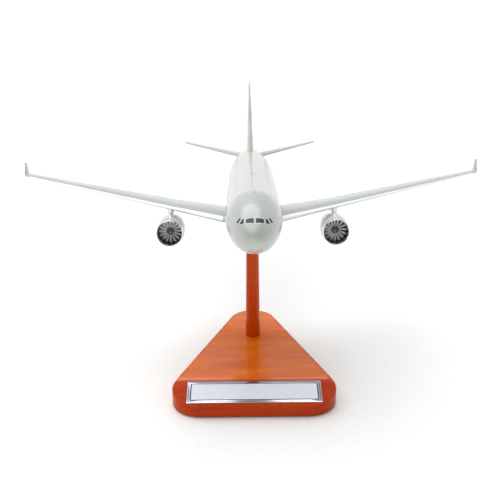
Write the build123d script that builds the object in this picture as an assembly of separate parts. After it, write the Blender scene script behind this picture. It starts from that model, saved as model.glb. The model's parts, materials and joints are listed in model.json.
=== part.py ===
from build123d import *
import os
from math import atan2, cos, degrees, pi, radians, sin, tan

# Desk model of a twin-engine wide-body airliner, 1/100 scale, on a mahogany stand.
# Row frame: +Z up, +Y towards the tail, origin under the post where the felt meets the desk.
# Airframe frame: y is the station aft of the nose tip, z is the height over the fuselage axis.
# Millimetres and degrees throughout.

# Fits
glue_gap = 0.03            # pieces that are glued into a bore or pocket
running_gap = 0.05         # radial, where one piece turns or slides in another
seat_gap = 0.3             # between faces of pieces that move apart

# Stand
base_half_width = 92.0
base_front = 155.5         # front edge ahead of the post
base_back = 67.0           # rounded apex behind the post
corner_radius = 32.0
apex_radius = 28.8
board_thickness = 20.0
edge_round = 1.0
bevel_start = 108.8        # ahead of the post
bevel_drop = 7.3           # fall of the bevel at the front edge
felt_thickness = 1.5
felt_inset = 2.0
plate_width = 150.0
plate_height = 36.0
plate_thickness = 1.0
plate_corner = 0.8
panel_margin = 5.0
panel_thickness = 0.3
post_foot_radius = 8.9
post_top_radius = 7.1
belly_height = 178.4       # of the fuselage keel over the desk, on the post's axis
post_entry = 3.2           # how far the post reaches into the belly
pin_radius = 3.0
pin_in_post = 22.0
pin_in_belly = 20.0
bush_wall = 1.6
bush_spare = 2.0           # bore left past each end of the pin
flange_thickness = 1.6
screw_radius = 2.4
screw_head_radius = 5.0
screw_length = 48.0
screw_head_height = 3.0

# Fuselage
fuselage_length = 588.0
body_radius = 28.2
nose_tip_height = -4.9
nose_crown_length = 81.0
nose_keel_length = 58.5
nose_side_length = 76.0
tail_length = 203.0
tail_end_crown = 18.0
tail_end_keel = 10.0
tail_end_half_width = 4.0
support_station = 250.0    # where the post's axis meets the keel
nose_up = 10.0             # attitude on the stand

# Belly fairing
fairing_front = 148.0
fairing_back = 332.0
fairing_half_width = 29.6
fairing_below_keel = 2.6
fairing_top_height = -1.0

# Wings
wing_root_station = 174.0  # leading edge at the fuselage side
wing_above_keel = 7.7
wing_sweep = 31.8
wing_dihedral = 6.8
wing_root_chord = 99.0
wing_kink = 95.0           # distance from the centre line to the kink in the trailing edge
wing_kink_chord = 68.0
wing_tip = 284.5
wing_tip_chord = 25.0
wing_root_ratio = 0.108    # thickness over chord
wing_kink_ratio = 0.094
wing_tip_ratio = 0.08
edge_half_thickness = 0.35
wing_camber = 0.012
winglet_height = 15.0
winglet_reach = 4.8
winglet_tip_chord = 10.0
dowel_radius = 2.0
dowel_reach = 18.0         # into each piece
flap_fairing_places = (62.0, 122.0, 168.0, 214.0)
flap_fairing_length = 40.0
flap_fairing_overhang = 2.0    # behind the trailing edge
flap_fairing_depth = 4.6
flap_fairing_thickness = 4.0

# Engines
engine_offset = 93.6
inlet_station = 192.0
engine_drop = 24.6         # axis below the middle of the wing above it
engine_radius = 16.2
inlet_radius = 13.5
lip_length = 4.5
lip_step = 1.3             # the lip's outer edge is this much inside the greatest radius
cowl_length = 52.0
cowl_widest = 21.0
cowl_exit_radius = 13.4
cowl_exit_wall = 0.9
exit_depth = 6.0
fan_wall_depth = 20.0      # front face of the wall behind the fan
fan_wall_thickness = 11.0
core_bore_radius = 7.8
core_front_radius = 9.4
core_exit_radius = 6.6
core_exit_wall = 0.7
core_length = 68.0
core_bore_depth = 8.0
plug_radius = 4.2
plug_length = 77.0
fan_tip_gap = 0.4
blade_count = 16
blade_chord = 4.0
blade_thickness = 0.5
blade_root_pitch = 32.0
blade_tip_pitch = 58.0
hub_radius = 4.4
hub_length = 5.4
spinner_length = 6.0
axle_radius = 1.0
axle_collar_radius = 2.2
axle_collar_length = 1.2
fan_bush_wall = 1.2
pylon_thickness = 5.0

# Tail
fin_root_to_tail_end = 126.0
fin_root_chord = 96.0
fin_top_height = 119.5
fin_sweep = 45.5
fin_top_chord = 27.0
fin_root_thickness = 9.6
fin_top_thickness = 2.3
stabilizer_to_tail_end = 92.0
stabilizer_root_chord = 52.0
stabilizer_tip = 97.0
stabilizer_tip_chord = 19.0
stabilizer_sweep = 32.0
stabilizer_root_height = 14.8
stabilizer_dihedral = 10.4
stabilizer_ratio = 0.10
tail_dowel_radius = 1.6
tail_dowel_reach = 10.0
stabilizer_dowel_radius = 1.1
stabilizer_dowel_reach = 6.0
antenna_stations = (62.0, 196.0)
antenna_height = 3.4
antenna_chord = 6.0
antenna_thickness = 1.0

# Worked out from the driving dimensions
board_top = felt_thickness + board_thickness
post_top = belly_height + post_entry
bush_radius = pin_radius + running_gap + bush_wall
flange_bottom = post_top + seat_gap
recess_radius = post_top_radius + 0.7
tail_start = fuselage_length - tail_length


def on_stand(shape):
    """Carry a shape from the airframe frame to the row frame."""
    place = (
        Pos(0, 0, belly_height)
        * Rot(-nose_up, 0, 0)
        * Pos(0, -support_station, body_radius)
    )
    return place * shape


def rod(radius, low, high):
    """Cylinder on the post's axis between two heights."""
    return Pos(0, 0, low) * Cylinder(
        radius, high - low, align=(Align.CENTER, Align.CENTER, Align.MIN)
    )


def cross_rod(radius, start, stop, station, height):
    """Cylinder along X between two distances from the centre line."""
    return extrude(upright(start, station, height) * Circle(radius), stop - start)


def upright(x, y, z):
    """Plane across the span: local x aft, local y up."""
    return Plane(origin=(x, y, z), x_dir=(0, 1, 0), z_dir=(1, 0, 0))


def largest(shape):
    """The biggest solid of a cut shape."""
    return max(shape.solids(), key=lambda solid: solid.volume)


def group(shapes):
    """Several separate solids as one node."""
    return Compound(children=[solid for shape in shapes for solid in shape.solids()])


# ---------------------------------------------------------------- stand


def base_outline(inset):
    """Triangle with rounded corners: arcs about three centres, joined by their tangents."""
    front_x, front_y = base_half_width - corner_radius, corner_radius - base_front
    apex_y = base_back - apex_radius
    run = Vector(-front_x, apex_y - front_y)
    lean = (corner_radius - apex_radius) / run.length
    normal = run.normalized() * lean + Vector(run.Y, -run.X).normalized() * (1 - lean**2) ** 0.5
    angle = degrees(atan2(normal.Y, normal.X))
    corner, apex = corner_radius - inset, apex_radius - inset
    front_end = Vector(front_x, front_y) + normal * corner
    apex_end = Vector(0, apex_y) + normal * apex
    right = [
        Line((0, front_y - corner), (front_x, front_y - corner)),
        CenterArc((front_x, front_y), corner, -90, 90 + angle),
        Line(front_end, apex_end),
        CenterArc((0, apex_y), apex, angle, 90 - angle),
    ]
    return make_face(right + [mirror(line, about=Plane.YZ) for line in right])


def bevel_plane():
    """Plane of the sloping front, origin at its middle, x to the right, y up the slope."""
    run = base_front - bevel_start
    middle = (0, -(base_front + bevel_start) / 2, board_top - bevel_drop / 2)
    normal = (0, -bevel_drop, run)
    return Plane(origin=middle, x_dir=(1, 0, 0), z_dir=normal)


def base_board():
    board = Pos(0, 0, felt_thickness) * extrude(base_outline(0), board_thickness)
    above_bevel = bevel_plane() * Box(
        3 * base_half_width, 2 * base_front, board_thickness,
        align=(Align.CENTER, Align.CENTER, Align.MIN),
    )
    front_side = Pos(0, -bevel_start, board_top) * Box(
        3 * base_half_width, 2 * base_front, 3 * board_thickness,
        align=(Align.CENTER, Align.MAX, Align.CENTER),
    )
    board = board - (above_bevel & front_side)
    rim = [
        edge for edge in board.edges()
        if edge.center().Z > felt_thickness + 1 and abs(edge.tangent_at(0.5).Z) < 0.9
    ]
    board = fillet(rim, edge_round)
    board = board - rod(screw_radius + glue_gap, 0, board_top)
    sink = Pos(0, 0, felt_thickness) * Cone(
        screw_head_radius + glue_gap, screw_radius + glue_gap, screw_head_height,
        align=(Align.CENTER, Align.CENTER, Align.MIN),
    )
    return board - sink


def base_felt():
    return extrude(base_outline(felt_inset), felt_thickness)


def nameplate():
    plate = RectangleRounded(plate_width, plate_height, plate_corner)
    return extrude(bevel_plane() * plate, plate_thickness)


def nameplate_panel():
    seat = bevel_plane().offset(plate_thickness)
    panel = RectangleRounded(
        plate_width - 2 * panel_margin, plate_height - 2 * panel_margin, plate_corner / 2
    )
    return extrude(seat * panel, panel_thickness)


def post():
    body = Pos(0, 0, board_top) * Cone(
        post_foot_radius, post_top_radius, post_top - board_top,
        align=(Align.CENTER, Align.CENTER, Align.MIN),
    )
    bush_bottom = post_top - pin_in_post - bush_spare
    body -= rod(bush_radius + glue_gap, bush_bottom, post_top)
    screw_top = felt_thickness + screw_length
    return body - rod(screw_radius + glue_gap, board_top, screw_top + bush_spare)


def post_screw():
    """Countersunk wood screw with a cross recess, from under the board into the post."""
    head = Pos(0, 0, felt_thickness) * Cone(
        screw_head_radius, screw_radius, screw_head_height,
        align=(Align.CENTER, Align.CENTER, Align.MIN),
    )
    point = 4 * screw_radius
    shank_top = felt_thickness + screw_length - point
    shank = rod(screw_radius, felt_thickness + screw_head_height, shank_top)
    tip = Pos(0, 0, shank_top) * Cone(
        screw_radius, screw_radius / 6, point, align=(Align.CENTER, Align.CENTER, Align.MIN)
    )
    slot = Box(screw_radius, screw_head_radius, 3)
    recess = Pos(0, 0, felt_thickness) * (slot + Rot(0, 0, 90) * slot)
    return head + shank + tip - recess


def post_bush():
    bottom = post_top - pin_in_post - bush_spare
    bore_bottom = post_top - pin_in_post
    return rod(bush_radius, bottom, post_top) - rod(
        pin_radius + running_gap, bore_bottom, post_top
    )


def support_pin():
    low = post_top - pin_in_post + seat_gap
    body = rod(pin_radius, low, flange_bottom + pin_in_belly)
    return chamfer(body.edges().group_by(Axis.Z)[-1] + body.edges().group_by(Axis.Z)[0], 0.6)


def belly_bush():
    """Flanged bush; its flange lies on the floor of the belly recess."""
    top = flange_bottom + pin_in_belly + bush_spare
    body = rod(recess_radius - glue_gap, flange_bottom, flange_bottom + flange_thickness)
    body += rod(bush_radius, flange_bottom, top)
    return body - rod(pin_radius + running_gap, flange_bottom, top)


def belly_pocket():
    """Room in the belly for the post's end, the flange and the bush."""
    flange_top = flange_bottom + flange_thickness
    top = flange_bottom + pin_in_belly + bush_spare
    wide = rod(recess_radius, belly_height - 2 * body_radius, flange_top)
    return wide + rod(bush_radius + glue_gap, flange_top, top)


# ---------------------------------------------------------------- fuselage


def swell(share, inner, outer):
    """Rises from 0 to 1 with an upright start and a level end."""
    share = min(max(share, 0), 1)
    return (1 - (1 - share) ** inner) ** outer


def tail_share(station):
    return max(0, (station - tail_start) / tail_length)


def crown(station):
    """Height of the fuselage's top line."""
    rise = body_radius - nose_tip_height
    front = nose_tip_height + rise * swell(station / nose_crown_length, 1.9, 0.62)
    return front - (body_radius - tail_end_crown) * tail_share(station) ** 2


def keel(station):
    """Height of the fuselage's bottom line."""
    fall = body_radius + nose_tip_height
    front = nose_tip_height - fall * swell(station / nose_keel_length, 2.1, 0.5)
    return front + (body_radius + tail_end_keel) * tail_share(station) ** 1.6


def half_width(station):
    front = body_radius * swell(station / nose_side_length, 2.0, 0.55)
    return front - (body_radius - tail_end_half_width) * tail_share(station) ** 1.8


def oval(station, width, low, high):
    """Oval face across the fuselage, from its half width and its low and high points."""
    plane = Plane(origin=(0, station, (low + high) / 2), x_dir=(1, 0, 0), z_dir=(0, -1, 0))
    steps = 16
    points = [
        (width * cos(2 * pi * k / steps), (high - low) / 2 * sin(2 * pi * k / steps))
        for k in range(steps)
    ]
    return plane * make_face(Spline(*points, periodic=True))


def frame_at(station):
    return oval(station, half_width(station), keel(station), crown(station))


def fuselage_body():
    steps = 20
    nose_stations = [nose_crown_length * (k / steps) ** 2 for k in range(1, steps + 1)]
    tail_stations = [tail_start + tail_length * share for share in
                     (0, 0.14, 0.28, 0.42, 0.56, 0.7, 0.84, 0.94, 1)]
    nose = loft([frame_at(station) for station in nose_stations], ruled=True)
    barrel = loft([frame_at(nose_crown_length), frame_at(tail_start)], ruled=True)
    tail = loft([frame_at(station) for station in tail_stations])
    return nose + barrel + tail


def fairing_body():
    """Full body of the belly fairing, before the fuselage is cut from it."""
    middle = (fairing_front + fairing_back) / 2
    reach = (fairing_back - fairing_front) / 2
    centre = (fairing_top_height - body_radius - fairing_below_keel) / 2
    height = fairing_top_height - centre
    sections = []
    for share in (-0.985, -0.88, -0.7, -0.45, -0.15, 0.15, 0.45, 0.7, 0.88, 0.985):
        size = (1 - abs(share) ** 2.8) ** 0.5
        sections.append(oval(
            middle + reach * share, fairing_half_width * size,
            centre - height * size, centre + height * size,
        ))
    return loft(sections)


# ---------------------------------------------------------------- lifting surfaces


def foil(plane, chord, thickness, camber):
    """Wing section face: chord along the plane's x, blunt trailing edge."""
    steps = 9
    shares = [(1 - cos(pi * k / steps)) / 2 for k in range(steps + 1)]
    upper, lower = [], []
    for x in shares:
        half = 5 * thickness * (
            0.2969 * x**0.5 - 0.126 * x - 0.3516 * x**2 + 0.2843 * x**3 - 0.1036 * x**4
        ) + edge_half_thickness * x
        middle = camber * chord * 4 * x * (1 - x)
        upper.append((chord * x, middle + half))
        lower.append((chord * x, middle - half))
    outline = Spline(*(upper[::-1] + lower[1:]))
    closing = Line(lower[-1], upper[-1])
    return plane * make_face([outline, closing])


def wing_edge(x):
    """Station of the wing's leading edge at a distance from the centre line."""
    return wing_root_station + (x - body_radius) * tan(radians(wing_sweep))


def wing_height(x):
    low = wing_above_keel - body_radius
    return low + (x - body_radius) * tan(radians(wing_dihedral))


def between(x, first, last, at_first, at_last):
    return at_first + (at_last - at_first) * (x - first) / (last - first)


def wing_chord(x):
    if x < wing_kink:
        return between(x, body_radius, wing_kink, wing_root_chord, wing_kink_chord)
    return between(x, wing_kink, wing_tip, wing_kink_chord, wing_tip_chord)


def wing_ratio(x):
    if x < wing_kink:
        return between(x, body_radius, wing_kink, wing_root_ratio, wing_kink_ratio)
    return between(x, wing_kink, wing_tip, wing_kink_ratio, wing_tip_ratio)


def wing_section(side, x):
    chord = wing_chord(x)
    plane = upright(side * x, wing_edge(x), wing_height(x))
    return foil(plane, chord, chord * wing_ratio(x), wing_camber)


def wing_body(side):
    inner = body_radius / 2
    return loft([wing_section(side, x) for x in (inner, wing_kink, wing_tip)], ruled=True)


def wing_dowels(side, spare):
    """Two dowels in one wing root, or their bores when spare is the gap around them."""
    middle = body_radius + dowel_reach / 2
    rods = []
    for share in (0.28, 0.5):
        ends = sorted(side * (body_radius + way * (dowel_reach + spare)) for way in (-1, 1))
        station = wing_edge(middle) + share * wing_root_chord
        rods.append(cross_rod(dowel_radius + spare, *ends, station, wing_height(middle)))
    return rods


def winglet(side):
    """Blended tip: turns up from the wing's end face to a raked upright blade."""
    edge, height = wing_edge(wing_tip), wing_height(wing_tip)
    sections = [wing_section(side, wing_tip)]
    for out, up, turn, chord_share in ((0.62, 0.13, 42, 0.82), (1.0, 1.0, 80, 0.0)):
        chord = winglet_tip_chord + (wing_tip_chord - winglet_tip_chord) * chord_share
        plane = Plane(
            origin=(
                side * (wing_tip + winglet_reach * out),
                edge + wing_tip_chord * 1.02 - chord,
                height + winglet_height * up,
            ),
            x_dir=(0, 1, 0),
            z_dir=(cos(radians(turn)), 0, side * sin(radians(turn))),
        )
        sections.append(foil(plane, chord, chord * wing_tip_ratio, 0))
    return loft(sections)


def flap_fairings(side, wing):
    """Boat-shaped covers of the flap tracks, cut to the wing's underside."""
    pods = []
    for x in flap_fairing_places:
        size = between(x, flap_fairing_places[0], flap_fairing_places[-1], 1, 0.72)
        half = size * flap_fairing_length / 2
        depth, thickness = size * flap_fairing_depth, size * flap_fairing_thickness
        trailing, top = wing_edge(x) + wing_chord(x), wing_height(x)
        middle = trailing + size * flap_fairing_overhang - half
        outline = [
            Spline(
                (middle - half, top), (middle - half / 3, top - depth),
                (middle + half, top - 0.4 * depth), tangents=((0.3, -1), (1, 0.25)),
            ),
            Polyline((middle + half, top - 0.4 * depth), (trailing, top), (middle - half, top)),
        ]
        plane = upright(side * x - thickness / 2, 0, 0)
        pod = extrude(plane * make_face(outline), thickness)
        pods.append(largest(pod - wing))
    return pods


def fin_body():
    root_station = fuselage_length - fin_root_to_tail_end
    root_height = crown(root_station) - 8
    rise = fin_top_height - crown(root_station)
    rake = tan(radians(fin_sweep))
    sections = []
    for height in (root_height, fin_top_height):
        up = height - crown(root_station)
        chord = between(up, 0, rise, fin_root_chord, fin_top_chord)
        thickness = between(up, 0, rise, fin_root_thickness, fin_top_thickness)
        plane = Plane(
            origin=(0, root_station + up * rake, height), x_dir=(0, 1, 0), z_dir=(0, 0, 1)
        )
        sections.append(foil(plane, chord, thickness, 0))
    return loft(sections, ruled=True)


def stabilizer_edge(x):
    root_station = fuselage_length - stabilizer_to_tail_end
    return root_station + (x - 12) * tan(radians(stabilizer_sweep))


def stabilizer_height(x):
    return stabilizer_root_height + (x - 12) * tan(radians(stabilizer_dihedral))


def stabilizer_body(side):
    sections = []
    for x in (3, stabilizer_tip):
        chord = between(x, 12, stabilizer_tip, stabilizer_root_chord, stabilizer_tip_chord)
        plane = upright(side * x, stabilizer_edge(x), stabilizer_height(x))
        sections.append(foil(plane, chord, chord * stabilizer_ratio, 0))
    return loft(sections, ruled=True)


def fin_dowels(spare):
    root_station = fuselage_length - fin_root_to_tail_end
    rods = []
    for share in (0.32, 0.6):
        station = root_station + share * fin_root_chord
        foot = crown(station) - tail_dowel_reach - spare
        rods.append(Pos(0, station, foot) * Cylinder(
            tail_dowel_radius + spare, 2 * (tail_dowel_reach + spare),
            align=(Align.CENTER, Align.CENTER, Align.MIN),
        ))
    return rods


def stabilizer_dowel(spare):
    """One dowel right through the tail into both stabilizers."""
    station = stabilizer_edge(12) + 0.38 * stabilizer_root_chord
    reach = half_width(station) + stabilizer_dowel_reach + spare
    height = stabilizer_height(half_width(station))
    return cross_rod(stabilizer_dowel_radius + spare, -reach, reach, station, height)


def antennas(fuselage):
    blades = []
    for station in antenna_stations:
        foot = crown(station) - 1
        sections = []
        for up, share, back in ((0, 1, 0), (antenna_height + 1, 0.5, 0.55)):
            plane = Plane(
                origin=(0, station + back * antenna_chord, foot + up),
                x_dir=(0, 1, 0), z_dir=(0, 0, 1),
            )
            oval_face = plane * Ellipse(antenna_chord / 2 * share, antenna_thickness / 2 * share)
            sections.append(oval_face)
        blades.append(largest(loft(sections, ruled=True) - fuselage))
    return blades


# ---------------------------------------------------------------- engines

engine_height = wing_height(engine_offset) - engine_drop


def engine_plane(side):
    """Origin at the middle of the inlet, local x aft along the engine's axis."""
    return upright(side * engine_offset, inlet_station, engine_height)


def turned(lines):
    """Turn an outline, drawn as distance aft of the inlet and radius, about Axis.X."""
    return revolve(make_face(lines), Axis.X, 360)


def lip_outer_radius():
    return engine_radius - lip_step


def cowl_outside():
    return Spline(
        (lip_length, lip_outer_radius()), (cowl_widest, engine_radius),
        (cowl_length, cowl_exit_radius),
        tangents=((1, 0.17), (1, -0.14)),
    )


def cowl_blank():
    """Outline of a whole cowl, for what is cut to fit its outside."""
    rest = Polyline(
        (cowl_length, cowl_exit_radius), (cowl_length, 0), (lip_length, 0),
        (lip_length, lip_outer_radius()),
    )
    return [cowl_outside(), rest]


def nacelle():
    """Cowl with the fan duct in front, a wall behind the fan and a bore for the core."""
    wall_back = fan_wall_depth + fan_wall_thickness
    bush_hole = axle_radius + running_gap + fan_bush_wall + glue_gap
    inside = Polyline(
        (cowl_length, cowl_exit_radius),
        (cowl_length, cowl_exit_radius - cowl_exit_wall),
        (cowl_length - exit_depth, cowl_exit_radius - cowl_exit_wall - 0.6),
        (cowl_length - exit_depth, core_bore_radius),
        (wall_back, core_bore_radius),
        (wall_back, bush_hole),
        (fan_wall_depth, bush_hole),
        (fan_wall_depth, inlet_radius),
        (lip_length, inlet_radius),
        (lip_length, lip_outer_radius()),
    )
    return turned([cowl_outside(), inside])


def inlet_lip():
    """Polished ring around the inlet."""
    front = Spline(
        (lip_length, inlet_radius), (0, (inlet_radius + lip_outer_radius()) / 2),
        (lip_length, lip_outer_radius()),
        tangents=((-1, 0.0), (1, 0.17)),
    )
    return turned([front, Line((lip_length, lip_outer_radius()), (lip_length, inlet_radius))])


def fan_bush():
    wall_back = fan_wall_depth + fan_wall_thickness
    outer = axle_radius + running_gap + fan_bush_wall
    return turned([Polyline(
        (fan_wall_depth, axle_radius + running_gap), (fan_wall_depth, outer),
        (wall_back, outer), (wall_back, axle_radius + running_gap), close=True,
    )])


def hub_front():
    return fan_wall_depth - 0.5 - hub_length


def fan_axle():
    """Axle with a collar behind the wall, which keeps the fan in."""
    wall_back = fan_wall_depth + fan_wall_thickness
    collar = wall_back + seat_gap
    return turned([Polyline(
        (hub_front() + 1, 0), (hub_front() + 1, axle_radius), (collar, axle_radius),
        (collar, axle_collar_radius), (collar + axle_collar_length, axle_collar_radius),
        (collar + axle_collar_length, 0), close=True,
    )])


def fan():
    """Hub, pointed spinner and twisted blades in one casting, with a blind bore for the axle."""
    front, back = hub_front(), hub_front() + hub_length
    tip = front - spinner_length
    cone = Spline((tip, 0), (front, hub_radius), tangents=((0.25, 1), (1, 0.1)))
    rest = Polyline(
        (front, hub_radius), (back, hub_radius), (back, axle_radius + glue_gap),
        (front + 1 - glue_gap, axle_radius + glue_gap), (front + 1 - glue_gap, 0), (tip, 0),
    )
    body = turned([cone, rest])
    root_radius = hub_radius - 0.6
    tip_radius = inlet_radius - fan_tip_gap
    sections = []
    for radius, pitch, share in (
        (root_radius, blade_root_pitch, 0.8), (tip_radius, blade_tip_pitch, 1)
    ):
        plane = Plane(
            origin=((front + back) / 2, radius, 0),
            x_dir=(cos(radians(pitch)), 0, sin(radians(pitch))), z_dir=(0, 1, 0),
        )
        sections.append(plane * Rectangle(blade_chord * share, blade_thickness))
    blade = loft(sections, ruled=True)
    return body + [Rot(360 * k / blade_count, 0, 0) * blade for k in range(blade_count)]


def core_cowl():
    """Core nozzle on a spigot in the nacelle's bore, hollow at its end."""
    seat = cowl_length - exit_depth
    spigot_front = fan_wall_depth + fan_wall_thickness + 4 * seat_gap + axle_collar_length
    outside = Spline(
        (seat, core_front_radius), (core_length, core_exit_radius),
        tangents=((1, -0.06), (1, -0.24)),
    )
    rest = Polyline(
        (core_length, core_exit_radius),
        (core_length, core_exit_radius - core_exit_wall),
        (core_length - core_bore_depth, core_exit_radius - core_exit_wall),
        (core_length - core_bore_depth, plug_radius / 2),
        (core_length - 2 * core_bore_depth, plug_radius / 2),
        (core_length - 2 * core_bore_depth, 0),
        (spigot_front, 0),
        (spigot_front, core_bore_radius - glue_gap),
        (seat, core_bore_radius - glue_gap),
        (seat, core_front_radius),
    )
    return turned([outside, rest])


def exhaust_plug():
    seat = core_length - core_bore_depth
    cone = Spline(
        (seat, plug_radius), (plug_length, 0.7), tangents=((1, 0.05), (1, -0.28))
    )
    rest = Polyline(
        (plug_length, 0.7), (plug_length, 0), (seat - core_bore_depth + 1, 0),
        (seat - core_bore_depth + 1, plug_radius / 2 - glue_gap),
        (seat, plug_radius / 2 - glue_gap), (seat, plug_radius),
    )
    return turned([cone, rest])


def pylon(side, wing, cowl):
    """Upright plate between the nacelle's top and the wing's underside."""
    cowl_top = engine_height + engine_radius
    edge = wing_edge(engine_offset)
    height = wing_height(engine_offset)
    trailing = edge + wing_chord(engine_offset)
    under = height - 0.6 * wing_chord(engine_offset) * wing_ratio(engine_offset)
    outline = Polyline(
        (inlet_station + 12, cowl_top - 2),
        (inlet_station + 16, cowl_top + 1.4),
        (edge - 3, height - 3.6),
        (edge + 2, height),
        (trailing - 20, height),
        (trailing - 12, under - 1.5),
        (inlet_station + cowl_length + 2, engine_height + cowl_exit_radius - 1.5),
        (inlet_station + cowl_length - 6, engine_height + cowl_exit_radius - 3),
        close=True,
    )
    plane = upright(side * engine_offset - pylon_thickness / 2, 0, 0)
    plate = extrude(plane * make_face(outline), pylon_thickness)
    return largest(plate - wing - cowl)


# ---------------------------------------------------------------- assembly


def stand_parts():
    return {
        "base_board": base_board(),
        "base_felt": base_felt(),
        "nameplate": nameplate(),
        "nameplate_panel": nameplate_panel(),
        "post": post(),
        "post_screw": post_screw(),
        "post_bush": post_bush(),
        "support_pin": support_pin(),
        "belly_bush": belly_bush(),
    }


def cut(shape, tools):
    for tool in tools:
        shape = shape - tool
    return shape


def wing_parts(side, full_fuselage, full_fairing):
    """Wing, winglet, flap fairings and pylon of one side."""
    full_wing = wing_body(side)
    wing = largest(full_wing - full_fuselage - full_fairing)
    cowl = engine_plane(side).location * turned(cowl_blank())
    return {
        "wing": cut(wing, wing_dowels(side, glue_gap)),
        "winglet": winglet(side),
        "flap_fairings": group(flap_fairings(side, full_wing)),
        "pylon": pylon(side, full_wing, cowl),
    }


def stabilizer(side, full_fuselage, full_fin):
    body = largest(stabilizer_body(side) - full_fuselage - full_fin)
    return body - stabilizer_dowel(glue_gap)


def engine_parts():
    """Parts of one engine about Axis.X, the same castings for both sides."""
    return {
        "nacelle": nacelle(),
        "inlet_lip": inlet_lip(),
        "fan_bush": fan_bush(),
        "fan_axle": fan_axle(),
        "fan": fan(),
        "core_cowl": core_cowl(),
        "exhaust_plug": exhaust_plug(),
    }


def airframe_parts():
    """Pieces of the airframe in the row frame."""
    full_fuselage, full_fairing, full_fin = fuselage_body(), fairing_body(), fin_body()
    wing_bores = wing_dowels(1, glue_gap) + wing_dowels(-1, glue_gap)
    tail_bores = fin_dowels(glue_gap) + [stabilizer_dowel(glue_gap)]
    parts = {
        "fuselage": cut(full_fuselage, wing_bores + tail_bores),
        "belly_fairing": cut(full_fairing - full_fuselage, wing_bores),
        "wing_dowels": group(wing_dowels(1, 0) + wing_dowels(-1, 0)),
        "fin": cut(largest(full_fin - full_fuselage), fin_dowels(glue_gap)),
        "tail_dowels": group(fin_dowels(0) + [stabilizer_dowel(0)]),
        "antennas": group(antennas(full_fuselage)),
    }
    engine = engine_parts()
    for side, word in ((1, "left_"), (-1, "right_")):
        for name, shape in wing_parts(side, full_fuselage, full_fairing).items():
            parts[word + name] = shape
        parts[word + "stabilizer"] = stabilizer(side, full_fuselage, full_fin)
        for name, shape in engine.items():
            parts[word + name] = engine_plane(side).location * shape
    placed = {name: on_stand(shape) for name, shape in parts.items()}
    pocket = belly_pocket()
    placed["fuselage"] = placed["fuselage"] - pocket
    placed["belly_fairing"] = placed["belly_fairing"] - pocket
    return placed


def main():
    os.makedirs("parts", exist_ok=True)
    for name, shape in {**stand_parts(), **airframe_parts()}.items():
        export_step(shape, f"parts/{name}.step")
        print(name, len(shape.solids()), round(shape.volume, 1))


main()
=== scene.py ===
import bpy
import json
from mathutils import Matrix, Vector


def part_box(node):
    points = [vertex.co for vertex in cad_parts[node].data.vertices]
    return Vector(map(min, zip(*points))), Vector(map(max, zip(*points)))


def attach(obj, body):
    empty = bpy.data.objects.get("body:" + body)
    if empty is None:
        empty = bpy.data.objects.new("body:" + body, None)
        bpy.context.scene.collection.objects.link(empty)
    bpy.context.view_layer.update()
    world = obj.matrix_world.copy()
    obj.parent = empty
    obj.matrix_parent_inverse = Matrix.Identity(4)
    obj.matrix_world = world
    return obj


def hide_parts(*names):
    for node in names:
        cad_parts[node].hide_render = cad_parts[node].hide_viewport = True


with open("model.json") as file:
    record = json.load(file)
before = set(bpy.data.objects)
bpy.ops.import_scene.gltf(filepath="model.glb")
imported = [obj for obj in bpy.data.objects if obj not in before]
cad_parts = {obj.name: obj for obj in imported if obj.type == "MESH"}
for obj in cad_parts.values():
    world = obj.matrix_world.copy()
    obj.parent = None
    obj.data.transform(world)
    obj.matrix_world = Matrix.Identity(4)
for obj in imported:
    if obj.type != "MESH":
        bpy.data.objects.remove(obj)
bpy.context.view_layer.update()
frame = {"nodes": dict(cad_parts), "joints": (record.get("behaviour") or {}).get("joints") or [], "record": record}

import json
from math import atan2, cos, hypot, pi, radians, sin, tan

import bmesh
import bpy
import numpy as np
from mathutils import Matrix, Vector

# Desk model of a wide-body twin on a lacquered stand.
# Airframe pieces are drawn in millimetres along the fuselage: x across, y aft of the nose tip,
# z above the fuselage axis. onStand() carries them to metres on the stand.

mm = 0.001
joints = {joint["name"]: joint for joint in frame["joints"]}
mounts = {mount["name"]: mount for mount in frame["record"]["mounts"]}
fanAxis = joints["left_fan_spin"]["axis"]
sides = {1: "left", -1: "right"}    # the airliner's own sides; +X is its left
noseUp = atan2(fanAxis[2], -fanAxis[1])

body = {
    "length": 588.0, "radius": 28.2, "tipHeight": -4.9,
    "crownRun": 81.0, "keelRun": 58.5, "sideRun": 76.0,     # how far the nose takes to reach full size
    "tailRun": 203.0, "endCrown": 18.0, "endKeel": 10.0, "endHalfWidth": 4.0,
    "supportStation": 250.0, "postEntry": 3.2,
    "jointStation": 72.0, "jointWidth": 0.45, "jointDepth": 0.1,    # seam behind the cockpit
    "vent": ((0.78, 0), (0.7, 0.6), (0.66, 4)),             # size and depth of the exhaust's ovals
}
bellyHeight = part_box("post")[1].z / mm - body["postEntry"]


# Small tools that every piece shares.

def hexColour(code):  # sRGB hex to linear
    parts = np.array([int(code[k:k + 2], 16) for k in (1, 3, 5)]) / 255
    linear = np.where(parts <= 0.04045, parts / 12.92, ((parts + 0.055) / 1.055) ** 2.4)
    return (*linear, 1.0)


def onStand(points):  # turned nose-up about X at the belly and set down on the post
    x, y, z = np.moveaxis(np.asarray(points, float), -1, 0)
    y, z = y - body["supportStation"], z + body["radius"]
    up = z * cos(noseUp) - y * sin(noseUp) + bellyHeight
    return np.stack([x, y * cos(noseUp) + z * sin(noseUp), up], -1) * mm


def offStand(point):  # the way back, metres on the stand to airframe millimetres
    x, y, z = np.asarray(point, float) / mm
    z -= bellyHeight
    return np.array([
        x, y * cos(noseUp) - z * sin(noseUp) + body["supportStation"],
        y * sin(noseUp) + z * cos(noseUp) - body["radius"],
    ])


def between(x, first, last, atFirst, atLast):  # a straight line through two known values
    return atFirst + (atLast - atFirst) * (x - first) / (last - first)


def cosineSteps(count):  # 0 to 1, close together at both ends
    return (1 - np.cos(np.linspace(0, pi, count))) / 2


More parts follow.
